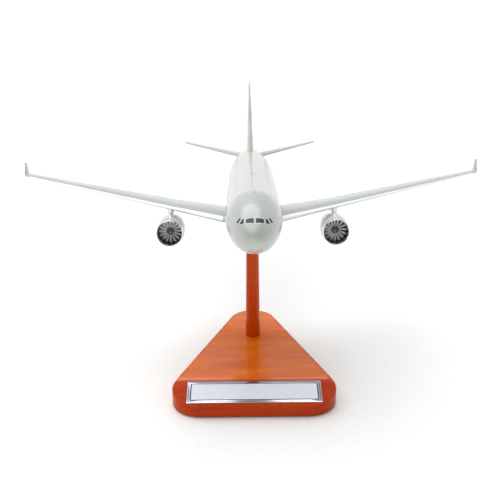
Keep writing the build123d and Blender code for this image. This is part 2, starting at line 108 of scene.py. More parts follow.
def gridFaces(rows, columns, first=0, loop=False):  # loop joins the last column to the first
    index = first + np.arange(rows * columns).reshape(rows, columns)
    if loop:
        index = np.hstack([index, index[:, :1]])
    quads = np.stack([index[:-1, :-1], index[1:, :-1], index[1:, 1:], index[:-1, 1:]], -1)
    return quads.reshape(-1, 4)


def tube(points, loop=True):
    # A rows x columns x 3 grid as a shell whose first and last rows are closed to their middles.
    start, end = points[:1].mean(1, keepdims=True), points[-1:].mean(1, keepdims=True)
    ends = [np.repeat(middle, points.shape[1], 1) for middle in (start, end)]
    full = np.concatenate([ends[0], points, ends[1]])
    return full, gridFaces(*full.shape[:2], loop=loop)


def capped(values, mode="constant"):  # marks of a tube, with a row for each of its closed ends
    return np.pad(values, ((1, 1), (0, 0)), mode)


def grooveAt(distance, halfWidth):  # 1 in the middle of an engraved line, 0 from its sides outwards
    return np.clip(1.4 * (1 - distance / halfWidth), 0, 1)


def squareOval(width, height, power, turn):
    # An oval squared off by its power: each half size times the wave to two over the power.
    waves = ((width, np.cos(turn)), (height, np.sin(turn)))
    return [size / 2 * np.sign(wave) * np.abs(wave) ** (2 / power) for size, wave in waves]


def sectionLoop(shares):
    # Shares of the chord from the trailing edge over the top to the leading edge and back underneath,
    # and which way each lies from the middle line.
    share = np.concatenate([shares[::-1], shares[1:]])[None, :]
    way = np.concatenate([np.ones(len(shares)), -np.ones(len(shares) - 1)])[None, :]
    return share, way


def slab(surface, normals, above, below):
    # A patch of a surface as a thin closed plate: one grid lifted above it, one sunk below it,
    # and a strip round the rim.
    rows, columns = surface.shape[:2]
    top, bottom = surface + normals * above, surface - normals * below
    index = np.arange(rows * columns).reshape(rows, columns)
    rim = np.concatenate([index[0], index[1:, -1], index[-1, -2::-1], index[-2:0:-1, 0]])
    after = np.roll(rim, -1)
    size = rows * columns
    strip = np.stack([rim, after, after + size, rim + size], -1)
    faces = [gridFaces(rows, columns), gridFaces(rows, columns, size)[:, ::-1], strip]
    points = np.concatenate([top.reshape(-1, 3), bottom.reshape(-1, 3)])
    return points, np.concatenate(faces)


def joined(shells):  # several shells as one
    points, faces, first = [], [], 0
    for shellPoints, shellFaces in shells:
        flat = shellPoints.reshape(-1, 3)
        points.append(flat)
        faces.append(shellFaces + first)
        first += len(flat)
    return np.concatenate(points), np.concatenate(faces)


def solidMesh(name, points, faces, marks=None):
    # Welded at its poles and seams, with every face turned outwards.
    mesh = bpy.data.meshes.new(name)
    mesh.from_pydata(points.tolist(), [], faces.tolist())
    for mark, values in (marks or {}).items():  # a named value for each vertex, which the material reads
        layer = mesh.attributes.new(mark, "FLOAT", "POINT")
        layer.data.foreach_set("value", np.asarray(values, np.float32).ravel())
    work = bmesh.new()
    work.from_mesh(mesh)
    bmesh.ops.remove_doubles(work, verts=work.verts, dist=2e-7)
    bmesh.ops.dissolve_degenerate(work, edges=work.edges, dist=1e-7)
    bmesh.ops.recalc_face_normals(work, faces=work.faces)
    work.to_mesh(mesh)
    work.free()
    return mesh


def makePiece(name, rider, material, shell, place=onStand, replaces=(), smooth=35, marks=None):
    points, faces = shell
    mesh = solidMesh(name, place(points.reshape(-1, 3)), faces, marks)
    mesh.shade_smooth()
    mesh.set_sharp_from_angle(angle=radians(smooth))
    mesh.materials.append(material)
    piece = bpy.data.objects.new(name, mesh)
    bpy.context.scene.collection.objects.link(piece)
    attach(piece, rider)
    if replaces:
        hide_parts(*replaces)
    return piece


def bored(piece, radius, low, high):
    # A round hole about the post's axis, between two heights in millimetres.
    turn = np.linspace(0, 2 * pi, 64, endpoint=False)
    ring = np.stack([np.cos(turn) * radius, np.sin(turn) * radius], -1)
    wall = np.stack([np.column_stack([ring, np.full(64, height)]) for height in (low, high)])
    points, faces = tube(wall)
    borer = bpy.data.objects.new("borer", solidMesh("borer", points.reshape(-1, 3) * mm, faces))
    bpy.context.scene.collection.objects.link(borer)
    cut = piece.modifiers.new("bore", "BOOLEAN")
    cut.operation, cut.solver, cut.object = "DIFFERENCE", "EXACT", borer
    bpy.context.view_layer.update()
    seen = piece.evaluated_get(bpy.context.evaluated_depsgraph_get())
    shape = bpy.data.meshes.new_from_object(seen)
    piece.modifiers.clear()
    piece.data = shape
    bpy.data.objects.remove(borer)


# Finishes. Patterns are laid on Object coordinates, so their sizes are real ones.

def addNode(tree, kind, inputs=None, **settings):  # an input is a value or another node's output
    node = tree.nodes.new("ShaderNode" + kind)
    for setting, value in settings.items():
        setattr(node, setting, value)
    for socket, value in (inputs or {}).items():
        if isinstance(value, bpy.types.NodeSocket):
            tree.links.new(value, node.inputs[socket])
        else:
            node.inputs[socket].default_value = value
    return node


def newMaterial(name, **surface):
    material = bpy.data.materials.new(name)
    material.use_nodes = True
    tree = material.node_tree
    tree.nodes.clear()
    shader = addNode(tree, "BsdfPrincipled", surface)
    addNode(tree, "OutputMaterial", {"Surface": shader.outputs[0]})
    return material, tree, shader


def rampStops(node, stops):  # position and colour of each stop
    ramp = node.color_ramp
    while len(ramp.elements) < len(stops):
        ramp.elements.new(0.5)
    for element, (position, colour) in zip(ramp.elements, stops):
        element.position, element.color = position, hexColour(colour)
    return node


def metres(tree, scale=(1, 1, 1)):  # real size, drawn out where the scale is under 1
    where = addNode(tree, "TexCoord")
    return addNode(tree, "Mapping", {"Vector": where.outputs["Object"], "Scale": scale}).outputs[0]


def paint(name, dark, light, rough, cloud=40.0, peel=1.6, coat=0.5, grooveAndShadeTone="#5E6366"):
    # Sprayed enamel under clear lacquer: an even colour with faint clouds where coats overlap, cloud mm
    # across, orange peel about peel mm across, and a second tone from a mark: dirt that stays in the engraved
    # lines, and painted shade under the leading edge and in the band behind it.
    material, tree, shader = newMaterial(name, **{
        "Roughness": rough, "Coat Weight": coat, "Coat Roughness": 0.06,
    })
    here = metres(tree)
    clouds = addNode(tree, "TexNoise", {"Vector": here, "Scale": 1 / (cloud * mm), "Detail": 3.0})
    tone = rampStops(addNode(tree, "ValToRGB", {"Fac": clouds.outputs[0]}), [(0.35, dark), (0.65, light)])
    # the mark's tone is dirt in the engraved lines, and painted shade under the leading edge and on the wing's
    # band
    grooveAndShade = addNode(tree, "Attribute", attribute_name="grooveAndShade")
    line = addNode(tree, "MixRGB", {
        "Fac": grooveAndShade.outputs["Fac"], "Color1": tone.outputs[0], "Color2": hexColour(grooveAndShadeTone),
    })
    tree.links.new(line.outputs[0], shader.inputs["Base Color"])
    skin = addNode(tree, "TexNoise", {"Vector": here, "Scale": 1 / (peel * mm), "Detail": 1.0})
    bump = addNode(tree, "Bump", {"Height": skin.outputs[0], "Strength": 0.25, "Distance": 0.00002})
    tree.links.new(bump.outputs[0], shader.inputs["Normal"])
    return material


def metal(name, colour, shade, rough, grain=0.6, along=(1, 1, 1), bumps=0.00001, metallic=1.0):
    # Bare metal, polished or machined: grain mm wide marks stretched along the direction of work.
    material, tree, shader = newMaterial(name, Metallic=metallic)
    here = metres(tree, along)
    marks = addNode(tree, "TexNoise", {"Vector": here, "Scale": 1 / (grain * mm), "Detail": 4.0})
    tone = rampStops(addNode(tree, "ValToRGB", {"Fac": marks.outputs[0]}), [(0.3, shade), (0.7, colour)])
    tree.links.new(tone.outputs[0], shader.inputs["Base Color"])
    polish = addNode(tree, "MapRange", {
        "Value": marks.outputs[0], "From Min": 0.3, "From Max": 0.7, "To Min": rough, "To Max": rough * 0.7,
    })
    tree.links.new(polish.outputs[0], shader.inputs["Roughness"])
    bump = addNode(tree, "Bump", {"Height": marks.outputs[0], "Strength": 0.2, "Distance": bumps})
    tree.links.new(bump.outputs[0], shader.inputs["Normal"])
    return material


def plastic(name, colour, shade, rough, speck=0.8, coat=0.0):
    # Gloss film or satin paint in one dark or bright tone, with faint specks speck mm across.
    material, tree, shader = newMaterial(name, **{
        "Roughness": rough, "Coat Weight": coat, "Coat Roughness": 0.05,
    })
    specks = addNode(tree, "TexNoise", {"Vector": metres(tree), "Scale": 1 / (speck * mm), "Detail": 2.0})
    tone = rampStops(addNode(tree, "ValToRGB", {"Fac": specks.outputs[0]}), [(0.35, shade), (0.65, colour)])
    tree.links.new(tone.outputs[0], shader.inputs["Base Color"])
    return material


def wood(name, stops, along, poreTone, coat=1.0, coatIndex=1.33, rough=0.35, cutStain=None):
    # Sawn and lacquered hardwood. along is how much the figure is stretched on each axis:
    # bands about 14 mm wide, fibres about 1.2 mm wide and open pores under half a millimetre.
    # Sawn edges, marked "cut", drink more stain and lacquer, so they are darker, redder and duller.
    material, tree, shader = newMaterial(name, **{
        "Roughness": rough, "Specular IOR Level": 0.05, "Coat Weight": coat, "Coat Roughness": 0.11,
        "Coat IOR": coatIndex,
    })
    here = metres(tree, along)
    bands = addNode(tree, "TexNoise", {
        "Vector": here, "Scale": 1 / 0.014, "Detail": 3.0, "Distortion": 0.6,
    })
    fibres = addNode(tree, "TexNoise", {
        "Vector": here, "Scale": 1 / 0.0012, "Detail": 4.0, "Roughness": 0.65,
    })
    blend = addNode(tree, "MixRGB", {"Fac": 0.42, "Color1": bands.outputs[0], "Color2": fibres.outputs[0]})
    tone = rampStops(addNode(tree, "ValToRGB", {"Fac": blend.outputs[0]}), stops)
    pores = addNode(tree, "TexNoise", {"Vector": here, "Scale": 1 / 0.0005, "Detail": 2.0})
    openPores = addNode(tree, "MapRange", {
        "Value": pores.outputs[0], "From Min": 0.62, "From Max": 0.72, "To Min": 0.0, "To Max": 0.45,
    })
    colour = addNode(tree, "MixRGB", {
        "Fac": openPores.outputs[0], "Color1": tone.outputs[0], "Color2": hexColour(poreTone),
    })
    if cutStain:
        cut = addNode(tree, "Attribute", attribute_name="cut")
        colour = addNode(tree, "MixRGB", {
            "Fac": cut.outputs["Fac"], "Color1": colour.outputs[0], "Color2": hexColour(cutStain),
        }, blend_type="MULTIPLY")
        gloss = addNode(tree, "MapRange", {"Value": cut.outputs["Fac"], "To Min": coat, "To Max": 0.4 * coat})
        tree.links.new(gloss.outputs[0], shader.inputs["Coat Weight"])
    tree.links.new(colour.outputs[0], shader.inputs["Base Color"])
    bump = addNode(tree, "Bump", {"Height": fibres.outputs[0], "Strength": 0.15, "Distance": 0.00004})
    tree.links.new(bump.outputs[0], shader.inputs["Normal"])
    return material


def felt(name):
    # Pressed wool: short fibres in every direction, matt, with a soft fuzz at grazing angles.
    material, tree, shader = newMaterial(name, **{
        "Roughness": 0.95, "Sheen Weight": 0.6, "Sheen Roughness": 0.5,
    })
    fibres = addNode(tree, "TexNoise", {
        "Vector": metres(tree), "Scale": 1 / 0.0007, "Detail": 5.0, "Roughness": 0.7,
    })
    tone = addNode(tree, "ValToRGB", {"Fac": fibres.outputs[0]})
    rampStops(tone, [(0.3, "#0E2A17"), (0.7, "#2C5A36")])
    tree.links.new(tone.outputs[0], shader.inputs["Base Color"])
    bump = addNode(tree, "Bump", {"Height": fibres.outputs[0], "Strength": 0.8, "Distance": 0.0003})
    tree.links.new(bump.outputs[0], shader.inputs["Normal"])
    return material


def finPaint(name):
    # Sprayed enamel in soft bands across the fin: the mark "rise" runs from 0 at the root to 1 at the
    # top. Faint clouds and orange peel as on the rest of the airframe.
    material, tree, shader = newMaterial(name, **{"Roughness": 0.3, "Coat Weight": 0.5, "Coat Roughness": 0.06})
    rise = addNode(tree, "Attribute", attribute_name="rise")
    tone = rampStops(addNode(tree, "ValToRGB", {"Fac": rise.outputs["Fac"]}), [
        (0.0, "#C0B5AB"), (0.16, "#BDB3AA"), (0.22, "#BCBEBF"), (0.34, "#ADB8BE"), (0.38, "#9CABB5"),
        (0.62, "#A8B4BC"), (0.68, "#B9BDC0"), (1.0, "#BEC1C3"),
    ])
    clouds = addNode(tree, "TexNoise", {"Vector": metres(tree), "Scale": 30.0, "Detail": 3.0})
    faded = addNode(tree, "MixRGB", {"Fac": 0.06, "Color1": tone.outputs[0], "Color2": clouds.outputs[1]})
    grooveAndShade = addNode(tree, "Attribute", attribute_name="grooveAndShade")
    line = addNode(tree, "MixRGB", {
        "Fac": grooveAndShade.outputs["Fac"], "Color1": faded.outputs[0], "Color2": hexColour("#6A7176"),
    })
    tree.links.new(line.outputs[0], shader.inputs["Base Color"])
    skin = addNode(tree, "TexNoise", {"Vector": metres(tree), "Scale": 625.0, "Detail": 1.0})
    bump = addNode(tree, "Bump", {"Height": skin.outputs[0], "Strength": 0.25, "Distance": 0.00002})
    tree.links.new(bump.outputs[0], shader.inputs["Normal"])
    return material


finishes = {
    # the nose, barrel and fairing: even warm-green white, softly glossy
    "pearl": paint("sprayedPearlEnamel", "#A8ADA8", "#B1B5B0", 0.3),
    # cooler and a shade darker, so that the wings part from the body
    "wing": paint("sprayedGreyEnamel", "#9EA6AA", "#A7AEB1", 0.32, grooveAndShadeTone="#646C72"),
    "tail": paint("sprayedTailEnamel", "#A2A5A5", "#ABADAC", 0.32, grooveAndShadeTone="#687074"),
    "fin": finPaint("sprayedBandedEnamel"),
    "pylon": paint("sprayedPylonEnamel", "#D6DFE4", "#DEE5E9", 0.32),  # pale and cold
    "cowl": paint("sprayedCowlEnamel", "#CECCC7", "#D8D6D1", 0.3, grooveAndShadeTone="#77756F"),  # pale and warm
    # the brightest line on the airframe: its white is a painted highlight for the polished edge's reflection, over
    # a painted shade stripe underneath
    "edge": paint("glossWhitePaintedHighlightEdge", "#EEF1F2", "#F4F6F7", 0.25, grooveAndShadeTone="#4C5256"),
    "lip": metal("polishedAluminiumLip", "#E8EAEC", "#D2D5D8", 0.12, grain=0.5),  # a thin mirror ring
    # satin castings: light blades that stay readable inside the dark duct, and a darker hub
    "blade": metal("castAluminiumBlade", "#F2F3F5", "#DADDE0", 0.4, grain=0.5, metallic=0.1),
    "hub": metal("darkAnodisedHub", "#A2A5A9", "#7C8084", 0.24, grain=0.4, metallic=0.5),
    # the duct's near-black is painted shade, standing for the shade deep in the intake and behind the fan
    "duct": plastic("blackDuctPaintedShade", "#0C0D0F", "#060708", 0.35),  # swallows light
    "exhaust": metal("heatTintedNickel", "#6E675F", "#4C4640", 0.38, grain=0.9),  # brownish, half dull
    "glass": plastic("glossBlackFilm", "#1B272F", "#121B22", 0.4),  # blue-black panes
    "surround": plastic("glossPaleFilm", "#DDE3E3", "#D3DADA", 0.25),  # thin pale frame round them
    "window": plastic("glossSmokeFilm", "#5C6870", "#49545C", 0.2, coat=0.4),
    "line": plastic("satinGreyFilm", "#A7AAA8", "#989C9A", 0.4),  # hardly darker than the paint
    # deep gloss over orange-red figure that runs across the board and up the post
    "board": wood("lacqueredMahoganyBoard", [
        (0.28, "#C45206"), (0.42, "#D66008"), (0.58, "#E46E0C"), (0.72, "#F07C14"),
    ], (0.16, 1, 1), "#8A2C04", cutStain="#D08F62"),
    "post": wood("lacqueredMahoganyPost", [
        (0.28, "#A63202"), (0.42, "#BC3E03"), (0.58, "#CC4804"), (0.72, "#DA5608"),
    ], (1, 1, 0.12), "#7C2403", coatIndex=1.2),
    # bare pale dowels, matt
    "plain": wood("sawnBirchDowel", [
        (0.3, "#B98F5C"), (0.5, "#CBA472"), (0.7, "#D9B98C"),
    ], (0.12, 1, 1), "#8A6238", coat=0.0, rough=0.6),
    # brushed along its length, so highlights smear sideways
    "plate": metal("brushedNickelPlate", "#D9DCE2", "#B4B9C2", 0.2, grain=0.35, along=(0.05, 1, 1)),
    "enamel": plastic("firedWhiteEnamel", "#E6E9F1", "#E1E5EE", 0.25, speck=6.0, coat=0.3),  # glassy white
    "navy": plastic("firedNavyEnamel", "#2A3A66", "#202E55", 0.25, coat=0.5),
    "felt": felt("pressedWoolFelt"),
    "brass": metal("turnedBrass", "#C9A24E", "#A8822F", 0.25, grain=0.4),  # yellow, fine turning marks
    "steel": metal("groundSteel", "#A9ABB0", "#84878C", 0.28, grain=0.4),  # grey, fine grinding marks
}
print("finishes made:", len(finishes))


# Fuselage: a crown line, a keel line and a side line, joined by ovals.

def swell(share, inner, outer):  # 0 to 1 with an upright start and a level end
    return (1 - (1 - np.clip(share, 0, 1)) ** inner) ** outer


def tailShare(station):  # 0 along the barrel, rising to 1 at the tail's end
    return np.clip((station - body["length"] + body["tailRun"]) / body["tailRun"], 0, 1)


def crown(station):  # height of the top line
    rise = body["radius"] - body["tipHeight"]
    front = body["tipHeight"] + rise * swell(station / body["crownRun"], 1.9, 0.62)
    return front - (body["radius"] - body["endCrown"]) * tailShare(station) ** 2


def keel(station):  # height of the bottom line
    fall = body["radius"] + body["tipHeight"]
    front = body["tipHeight"] - fall * swell(station / body["keelRun"], 2.1, 0.5)
    return front + (body["radius"] + body["endKeel"]) * tailShare(station) ** 1.6


def halfWidth(station):  # half the width of the oval
    front = body["radius"] * swell(station / body["sideRun"], 2.0, 0.55)
    return front - (body["radius"] - body["endHalfWidth"]) * tailShare(station) ** 1.8


def skinPoint(station, angle):
    # An oval at each station, between the crown and keel lines; angle turns from the right side up.
    station, angle = np.broadcast_arrays(np.asarray(station, float), np.asarray(angle, float))
    top, bottom = crown(station), keel(station)
    x = halfWidth(station) * np.cos(angle)
    z = (top + bottom) / 2 + (top - bottom) / 2 * np.sin(angle)
    return np.stack([x, station, z], -1)


def skinNormal(station, angle):  # from small steps along and around the skin
    step = 0.05
    along = skinPoint(station + step, angle) - skinPoint(np.maximum(station - step, 0.01), angle)
    around = skinPoint(station, angle + step / 20) - skinPoint(station, angle - step / 20)
    normal = np.cross(along, around)
    return normal / np.linalg.norm(normal, axis=-1, keepdims=True)


def makeFuselage():
    # Ovals at stations that lie closer together at the nose, with the seam sunk along the skin's normals
    # and the exhaust as three smaller ovals at the tail's end.
    joint, half = body["jointStation"], body["jointWidth"] / 2
    nose = body["crownRun"] * (np.arange(64) / 64) ** 2
    barrel = np.linspace(body["crownRun"], body["length"] - body["tailRun"], 40)
    tail = np.linspace(body["length"] - body["tailRun"], body["length"], 60)[1:]
    beside = joint + half * np.array([-1, -0.4, 0.4, 1])
    stations = np.sort(np.concatenate([nose, barrel, tail, beside]))
    angles = np.linspace(0, 2 * pi, 112, endpoint=False)
    grid = skinPoint(stations[:, None], angles)
    seam = np.broadcast_to(grooveAt(np.abs(stations - joint), half)[:, None], grid.shape[:2])
    grid[1:-1] -= skinNormal(stations[1:-1, None], angles) * (seam * body["jointDepth"])[1:-1, :, None]
    middle = grid[-1].mean(0)
    vent = [middle + (grid[-1] - middle) * size - np.array([0, depth, 0]) for size, depth in body["vent"]]
    points, faces = tube(np.concatenate([grid, vent]))
    grooveAndShade = np.zeros(points.shape[:2])
    grooveAndShade[1:len(stations) + 1] = seam * 0.35
    grooveAndShade[-3:] = 1
    return makePiece("fuselageSkin", "airframe", finishes["pearl"], (points, faces),
                     replaces=["fuselage"], smooth=50, marks={"grooveAndShade": grooveAndShade})


fairing = {
    "front": 148.0, "back": 332.0, "halfWidth": 29.6, "belowKeel": 2.6, "top": -1.0, "bluntness": 2.8,
    "reach": 0.985,                             # of the half length, which leaves room for its blunt ends
}


def makeFairing():
    # A long lens: each station an oval whose size is the root of one minus a high power of the distance
    # from the middle.
    share = -np.cos(np.linspace(0, pi, 90))
    size = np.sqrt(1 - np.abs(share) ** fairing["bluntness"])
    middle, reach = (fairing["front"] + fairing["back"]) / 2, (fairing["back"] - fairing["front"]) / 2
    centre = (fairing["top"] - body["radius"] - fairing["belowKeel"]) / 2
    angles = np.linspace(0, 2 * pi, 96, endpoint=False)
    x = fairing["halfWidth"] * size[:, None] * np.cos(angles)
    z = centre + (fairing["top"] - centre) * size[:, None] * np.sin(angles)
    y = np.broadcast_to((middle + fairing["reach"] * reach * share)[:, None], x.shape)
    return makePiece("bellyFairingSkin", "airframe", finishes["pearl"], tube(np.stack([x, y, z], -1)),
                     replaces=["belly_fairing"])


recess = {"radius": 7.8, "low": 150.0, "roof": 183.5}   # for the post's end, in the belly
for piece in (makeFuselage(), makeFairing()):
    bored(piece, recess["radius"], recess["low"], recess["roof"])
print("fuselage made")


# Glazing and marks, laid on the skin as thin films.

glazing = {
    "lift": 0.12, "sink": 0.25, "rimLift": 0.07, "rim": 0.55,
    # each pane on the right side: station and angle in degrees of its corners,
    # inner top, outer top, outer bottom, inner bottom
    "front": [(15.2, 87.0), (16.6, 61.0), (12.4, 54.8), (9.6, 86.2)],
    "side": [(18.0, 56.6), (19.4, 51.6), (17.0, 34.2), (13.6, 48.6)],
    "rear": [(21.2, 48.8), (23.4, 45.6), (23.2, 30.6), (19.4, 32.0)],
}


def roundedPatch(corners, grow=0.0, corner=0.9, count=13):
    # Rows and columns over four corners, in millimetres; the rows near two ends are shortened by the
    # corner's arc. grow moves every edge outwards.
    a, b, c, d = (np.array(spot, float) for spot in corners)
    width = (hypot(*(b - a)) + hypot(*(c - d))) / 2
    height = (hypot(*(d - a)) + hypot(*(c - b))) / 2
    arc = (corner + grow) / (height / 2 + grow)
    v = np.sin(np.linspace(-pi / 2, pi / 2, 2 * count + 1))
    inEnd = np.clip((np.abs(v) - 1 + arc) / arc, 0, 1)
    short = 1 - (corner + grow) / (width / 2 + grow) * (1 - np.sqrt(1 - inEnd**2))
    u = np.linspace(-1, 1, 2 * count + 1)[None, :] * short[:, None] * (1 + 2 * grow / width)
    v = np.broadcast_to(v[:, None], u.shape) * (1 + 2 * grow / height)
    u, v = (u[..., None] + 1) / 2, (v[..., None] + 1) / 2
    return (1 - u) * (1 - v) * a + u * (1 - v) * b + u * v * c + (1 - u) * v * d


def paneShell(corners, side, grow, above):
    # The corners go to millimetres on the skin, station and arc length, and the patch drawn there is
    # laid on it.
    scale = body["radius"] * 0.75 * pi / 180
    patch = roundedPatch([(station, angle * scale) for station, angle in corners], grow)
    station, angle = patch[..., 0], np.radians(patch[..., 1] / scale)
    angle = angle if side > 0 else pi - angle
    return slab(skinPoint(station, angle), skinNormal(station, angle), above, glazing["sink"])


panes, rims = [], []
for side in (1, -1):
    for pane in ("front", "side", "rear"):
        panes.append(paneShell(glazing[pane], side, 0, glazing["lift"]))
        rims.append(paneShell(glazing[pane], side, glazing["rim"], glazing["rimLift"]))
makePiece("windscreenPanes", "airframe", finishes["glass"], joined(panes))
makePiece("windscreenSurround", "airframe", finishes["surround"], joined(rims))

cabin = {
    "pitch": 5.3, "width": 2.3, "height": 3.4, "angle": 12.0, "first": 88.0, "last": 486.0,
    "lift": 0.07, "sink": 0.2, "square": 4.0,
}
doors = {
    # station of the middle, width, height
    "places": [(79.0, 10.7, 19.3), (168.0, 10.7, 19.3), (338.0, 9.0, 17.0), (497.0, 10.7, 19.3)],
    "line": 0.35, "lift": 0.06, "sink": 0.15, "middleAngle": 3.0, "square": 9.0,
}


def onSide(station, arc, middleAngle, side):
    # millimetres along and up the skin from a middle angle
    angle = radians(middleAngle) + arc / body["radius"]
    angle = angle if side > 0 else pi - angle
    return skinPoint(station, angle), skinNormal(station, angle)


def makeCabinWindows():
    # A row at an even pitch, clear of the doors. Each is a squared oval in rings: the middle, half way,
    # the rim above the skin, the rim below it and the middle below it.
    places = np.arange(cabin["first"], cabin["last"], cabin["pitch"])
    clear = np.ones(len(places), bool)
    for middle, width, height in doors["places"]:
        clear &= np.abs(places - middle) > width / 2 + cabin["width"] * 0.8
    places = places[clear]
    turn = np.linspace(0, 2 * pi, 12, endpoint=False)
    across, up = squareOval(cabin["width"], cabin["height"], cabin["square"], turn)
    shells = []
    for side in (1, -1):
        layers = []
        for share, way in ((0, 1), (0.55, 1), (1, 1), (1, -1), (0, -1)):
            spot, normal = onSide(places[:, None] + share * across, share * up, cabin["angle"], side)
            layers.append(spot + normal * (cabin["lift"] if way > 0 else -cabin["sink"]))
        grid = np.stack(layers, 1)                                   # window, ring, around
        size = grid.shape[1] * grid.shape[2]
        one = gridFaces(grid.shape[1], grid.shape[2], loop=True)
        faces = (one[None] + size * np.arange(len(places))[:, None, None]).reshape(-1, 4)
        shells.append((grid, faces))
    return makePiece("cabinWindows", "airframe", finishes["window"], joined(shells))


def makeDoorLines():
    # Each outline is a squared oval, as a ribbon of constant width closed under the skin.
    turn = np.linspace(0, 2 * pi, 96, endpoint=False)
    shells = []
    for side in (1, -1):
        for middle, width, height in doors["places"]:
            rings = []
            for inset, way in ((0, 1), (1, 1), (1, -1), (0, -1), (0, 1)):
                less = 2 * inset * doors["line"]
                across, up = squareOval(width - less, height - less, doors["square"], turn)
                spot, normal = onSide(middle + across, up, doors["middleAngle"], side)
                rings.append(spot + normal * (doors["lift"] if way > 0 else -doors["sink"]))
            grid = np.stack(rings)
            shells.append((grid, gridFaces(*grid.shape[:2], loop=True)))
    return makePiece("doorOutlines", "airframe", finishes["line"], joined(shells))


makeCabinWindows()
makeDoorLines()
print("glazing and doors made")


# Wings: one section, scaled by the chord at each place along the span.

wing = {
    "rootStation": 174.0, "rootHeight": 7.7 - body["radius"], "sweep": 31.8, "dihedral": 6.8,
    "rootChord": 99.0, "kink": 95.0, "kinkChord": 68.0, "tip": 284.5, "tipChord": 25.0,
    "ratios": (0.108, 0.094, 0.08), "edge": 0.35, "camber": 0.012, "inner": 20.0,
    "lineWidth": 0.5, "lineDepth": 0.12,
    # the band behind the leading edge is painted shade
    "paintedShadeBand": 0.15, "paintedShadeStrength": (0.3, 0.1),   # share of the chord, strength at the root and the tip
}
# engraved lines: first and last place along the span, first and last share of the chord, upper side or lower
wingLines = {
    "slats": (34, 276, 0.13, 0.13, 1), "spoilers": (40, 196, 0.66, 0.66, 1),
    "flaps": (34, 200, 0.78, 0.78, 1), "aileron": (204, 268, 0.74, 0.74, 1),
    "flapRoot": (34, 34, 0.66, 1.0, 1), "flapKink": (94, 94, 0.66, 1.0, 1),
    "flapEnd": (200, 200, 0.66, 1.0, 1), "aileronIn": (204, 204, 0.74, 1.0, 1),
    "aileronOut": (268, 268, 0.74, 1.0, 1), "slatCutA": (88, 88, 0.0, 0.13, 1),
    "slatCutB": (140, 140, 0.0, 0.13, 1), "slatCutC": (186, 186, 0.0, 0.13, 1),
    "slatCutD": (232, 232, 0.0, 0.13, 1),
    "flapsUnder": (34, 200, 0.72, 0.72, -1), "aileronUnder": (204, 268, 0.74, 0.74, -1),
    "slatsUnder": (34, 276, 0.07, 0.07, -1),
}


def foilHalf(share, thickness, edge):
    # Half thickness of a four-digit section, a root and a quartic of the share, plus a blunt trailing edge.
    shape = 0.2969 * np.sqrt(share) - 0.126 * share - 0.3516 * share**2
    shape = shape + 0.2843 * share**3 - 0.1036 * share**4
    return 5 * thickness * shape + edge * share


def piecewise(x, places, values):  # two straight lines that meet at the middle place
    inner = between(x, places[0], places[1], values[0], values[1])
    outer = between(x, places[1], places[2], values[1], values[2])
    return np.where(x < places[1], inner, outer)


def wingEdge(x):  # station of the leading edge, straight with the sweep
    return wing["rootStation"] + (x - body["radius"]) * tan(radians(wing["sweep"]))


def wingHeight(x):  # height of the middle line, straight with the dihedral
    return wing["rootHeight"] + (x - body["radius"]) * tan(radians(wing["dihedral"]))


def wingChord(x):
    places = (body["radius"], wing["kink"], wing["tip"])
    return piecewise(x, places, (wing["rootChord"], wing["kinkChord"], wing["tipChord"]))


def wingThickness(x):  # thickness is straight between the root, the kink and the tip
    start = body["radius"] / 2
    chords = [wingChord(np.float64(place)) for place in (start, wing["kink"], wing["tip"])]
    slope = (wing["ratios"][1] - wing["ratios"][0]) / (wing["kink"] - body["radius"])
    ratios = (wing["ratios"][0] - slope * (body["radius"] - start), wing["ratios"][1], wing["ratios"][2])
    return piecewise(x, (start, wing["kink"], wing["tip"]), [c * r for c, r in zip(chords, ratios)])


def withSteps(values, places, width):  # adds columns beside each engraved line, so that its sides are crisp
    beside = [place + width * way for place in places for way in (-1, -0.35, 0.35, 1)]
    inside = [place for place in beside if values.min() < place < values.max()]
    return np.unique(np.round(np.concatenate([values, inside]), 6))


def engraved(lines, x, share, upper, chord, width):
    # 1 in the middle of a line, 0 beyond half its width; the distance is taken in millimetres.
    depth = np.zeros(np.broadcast(x, share).shape)
    for first, last, low, high, way in lines.values():
        outX = np.maximum(np.maximum(first - x, x - last), 0)
        outC = np.maximum(np.maximum(low - share, share - high), 0) * chord
        depth = np.maximum(depth, grooveAt(np.hypot(outX, outC), width / 2) * (upper == (way > 0)))
    return depth


def wingGrid(side, xs, shares):
    # Sections from root to tip: the middle line's height, plus the camber, plus or minus half the
    # thickness, less the engraved lines.
    share, way = sectionLoop(shares)
    x = xs[:, None]
    chord, thickness = wingChord(x), wingThickness(x)
    half = foilHalf(share, thickness, wing["edge"]) * way
    middle = wing["camber"] * chord * 4 * share * (1 - share)
    grooveAndShade = engraved(wingLines, x, share, way > 0, chord, wing["lineWidth"])
    z = wingHeight(x) + middle + half - grooveAndShade * wing["lineDepth"] * way
    points = np.stack([np.broadcast_to(side * x, z.shape), wingEdge(x) + chord * share, z], -1)
    return points, grooveAndShade


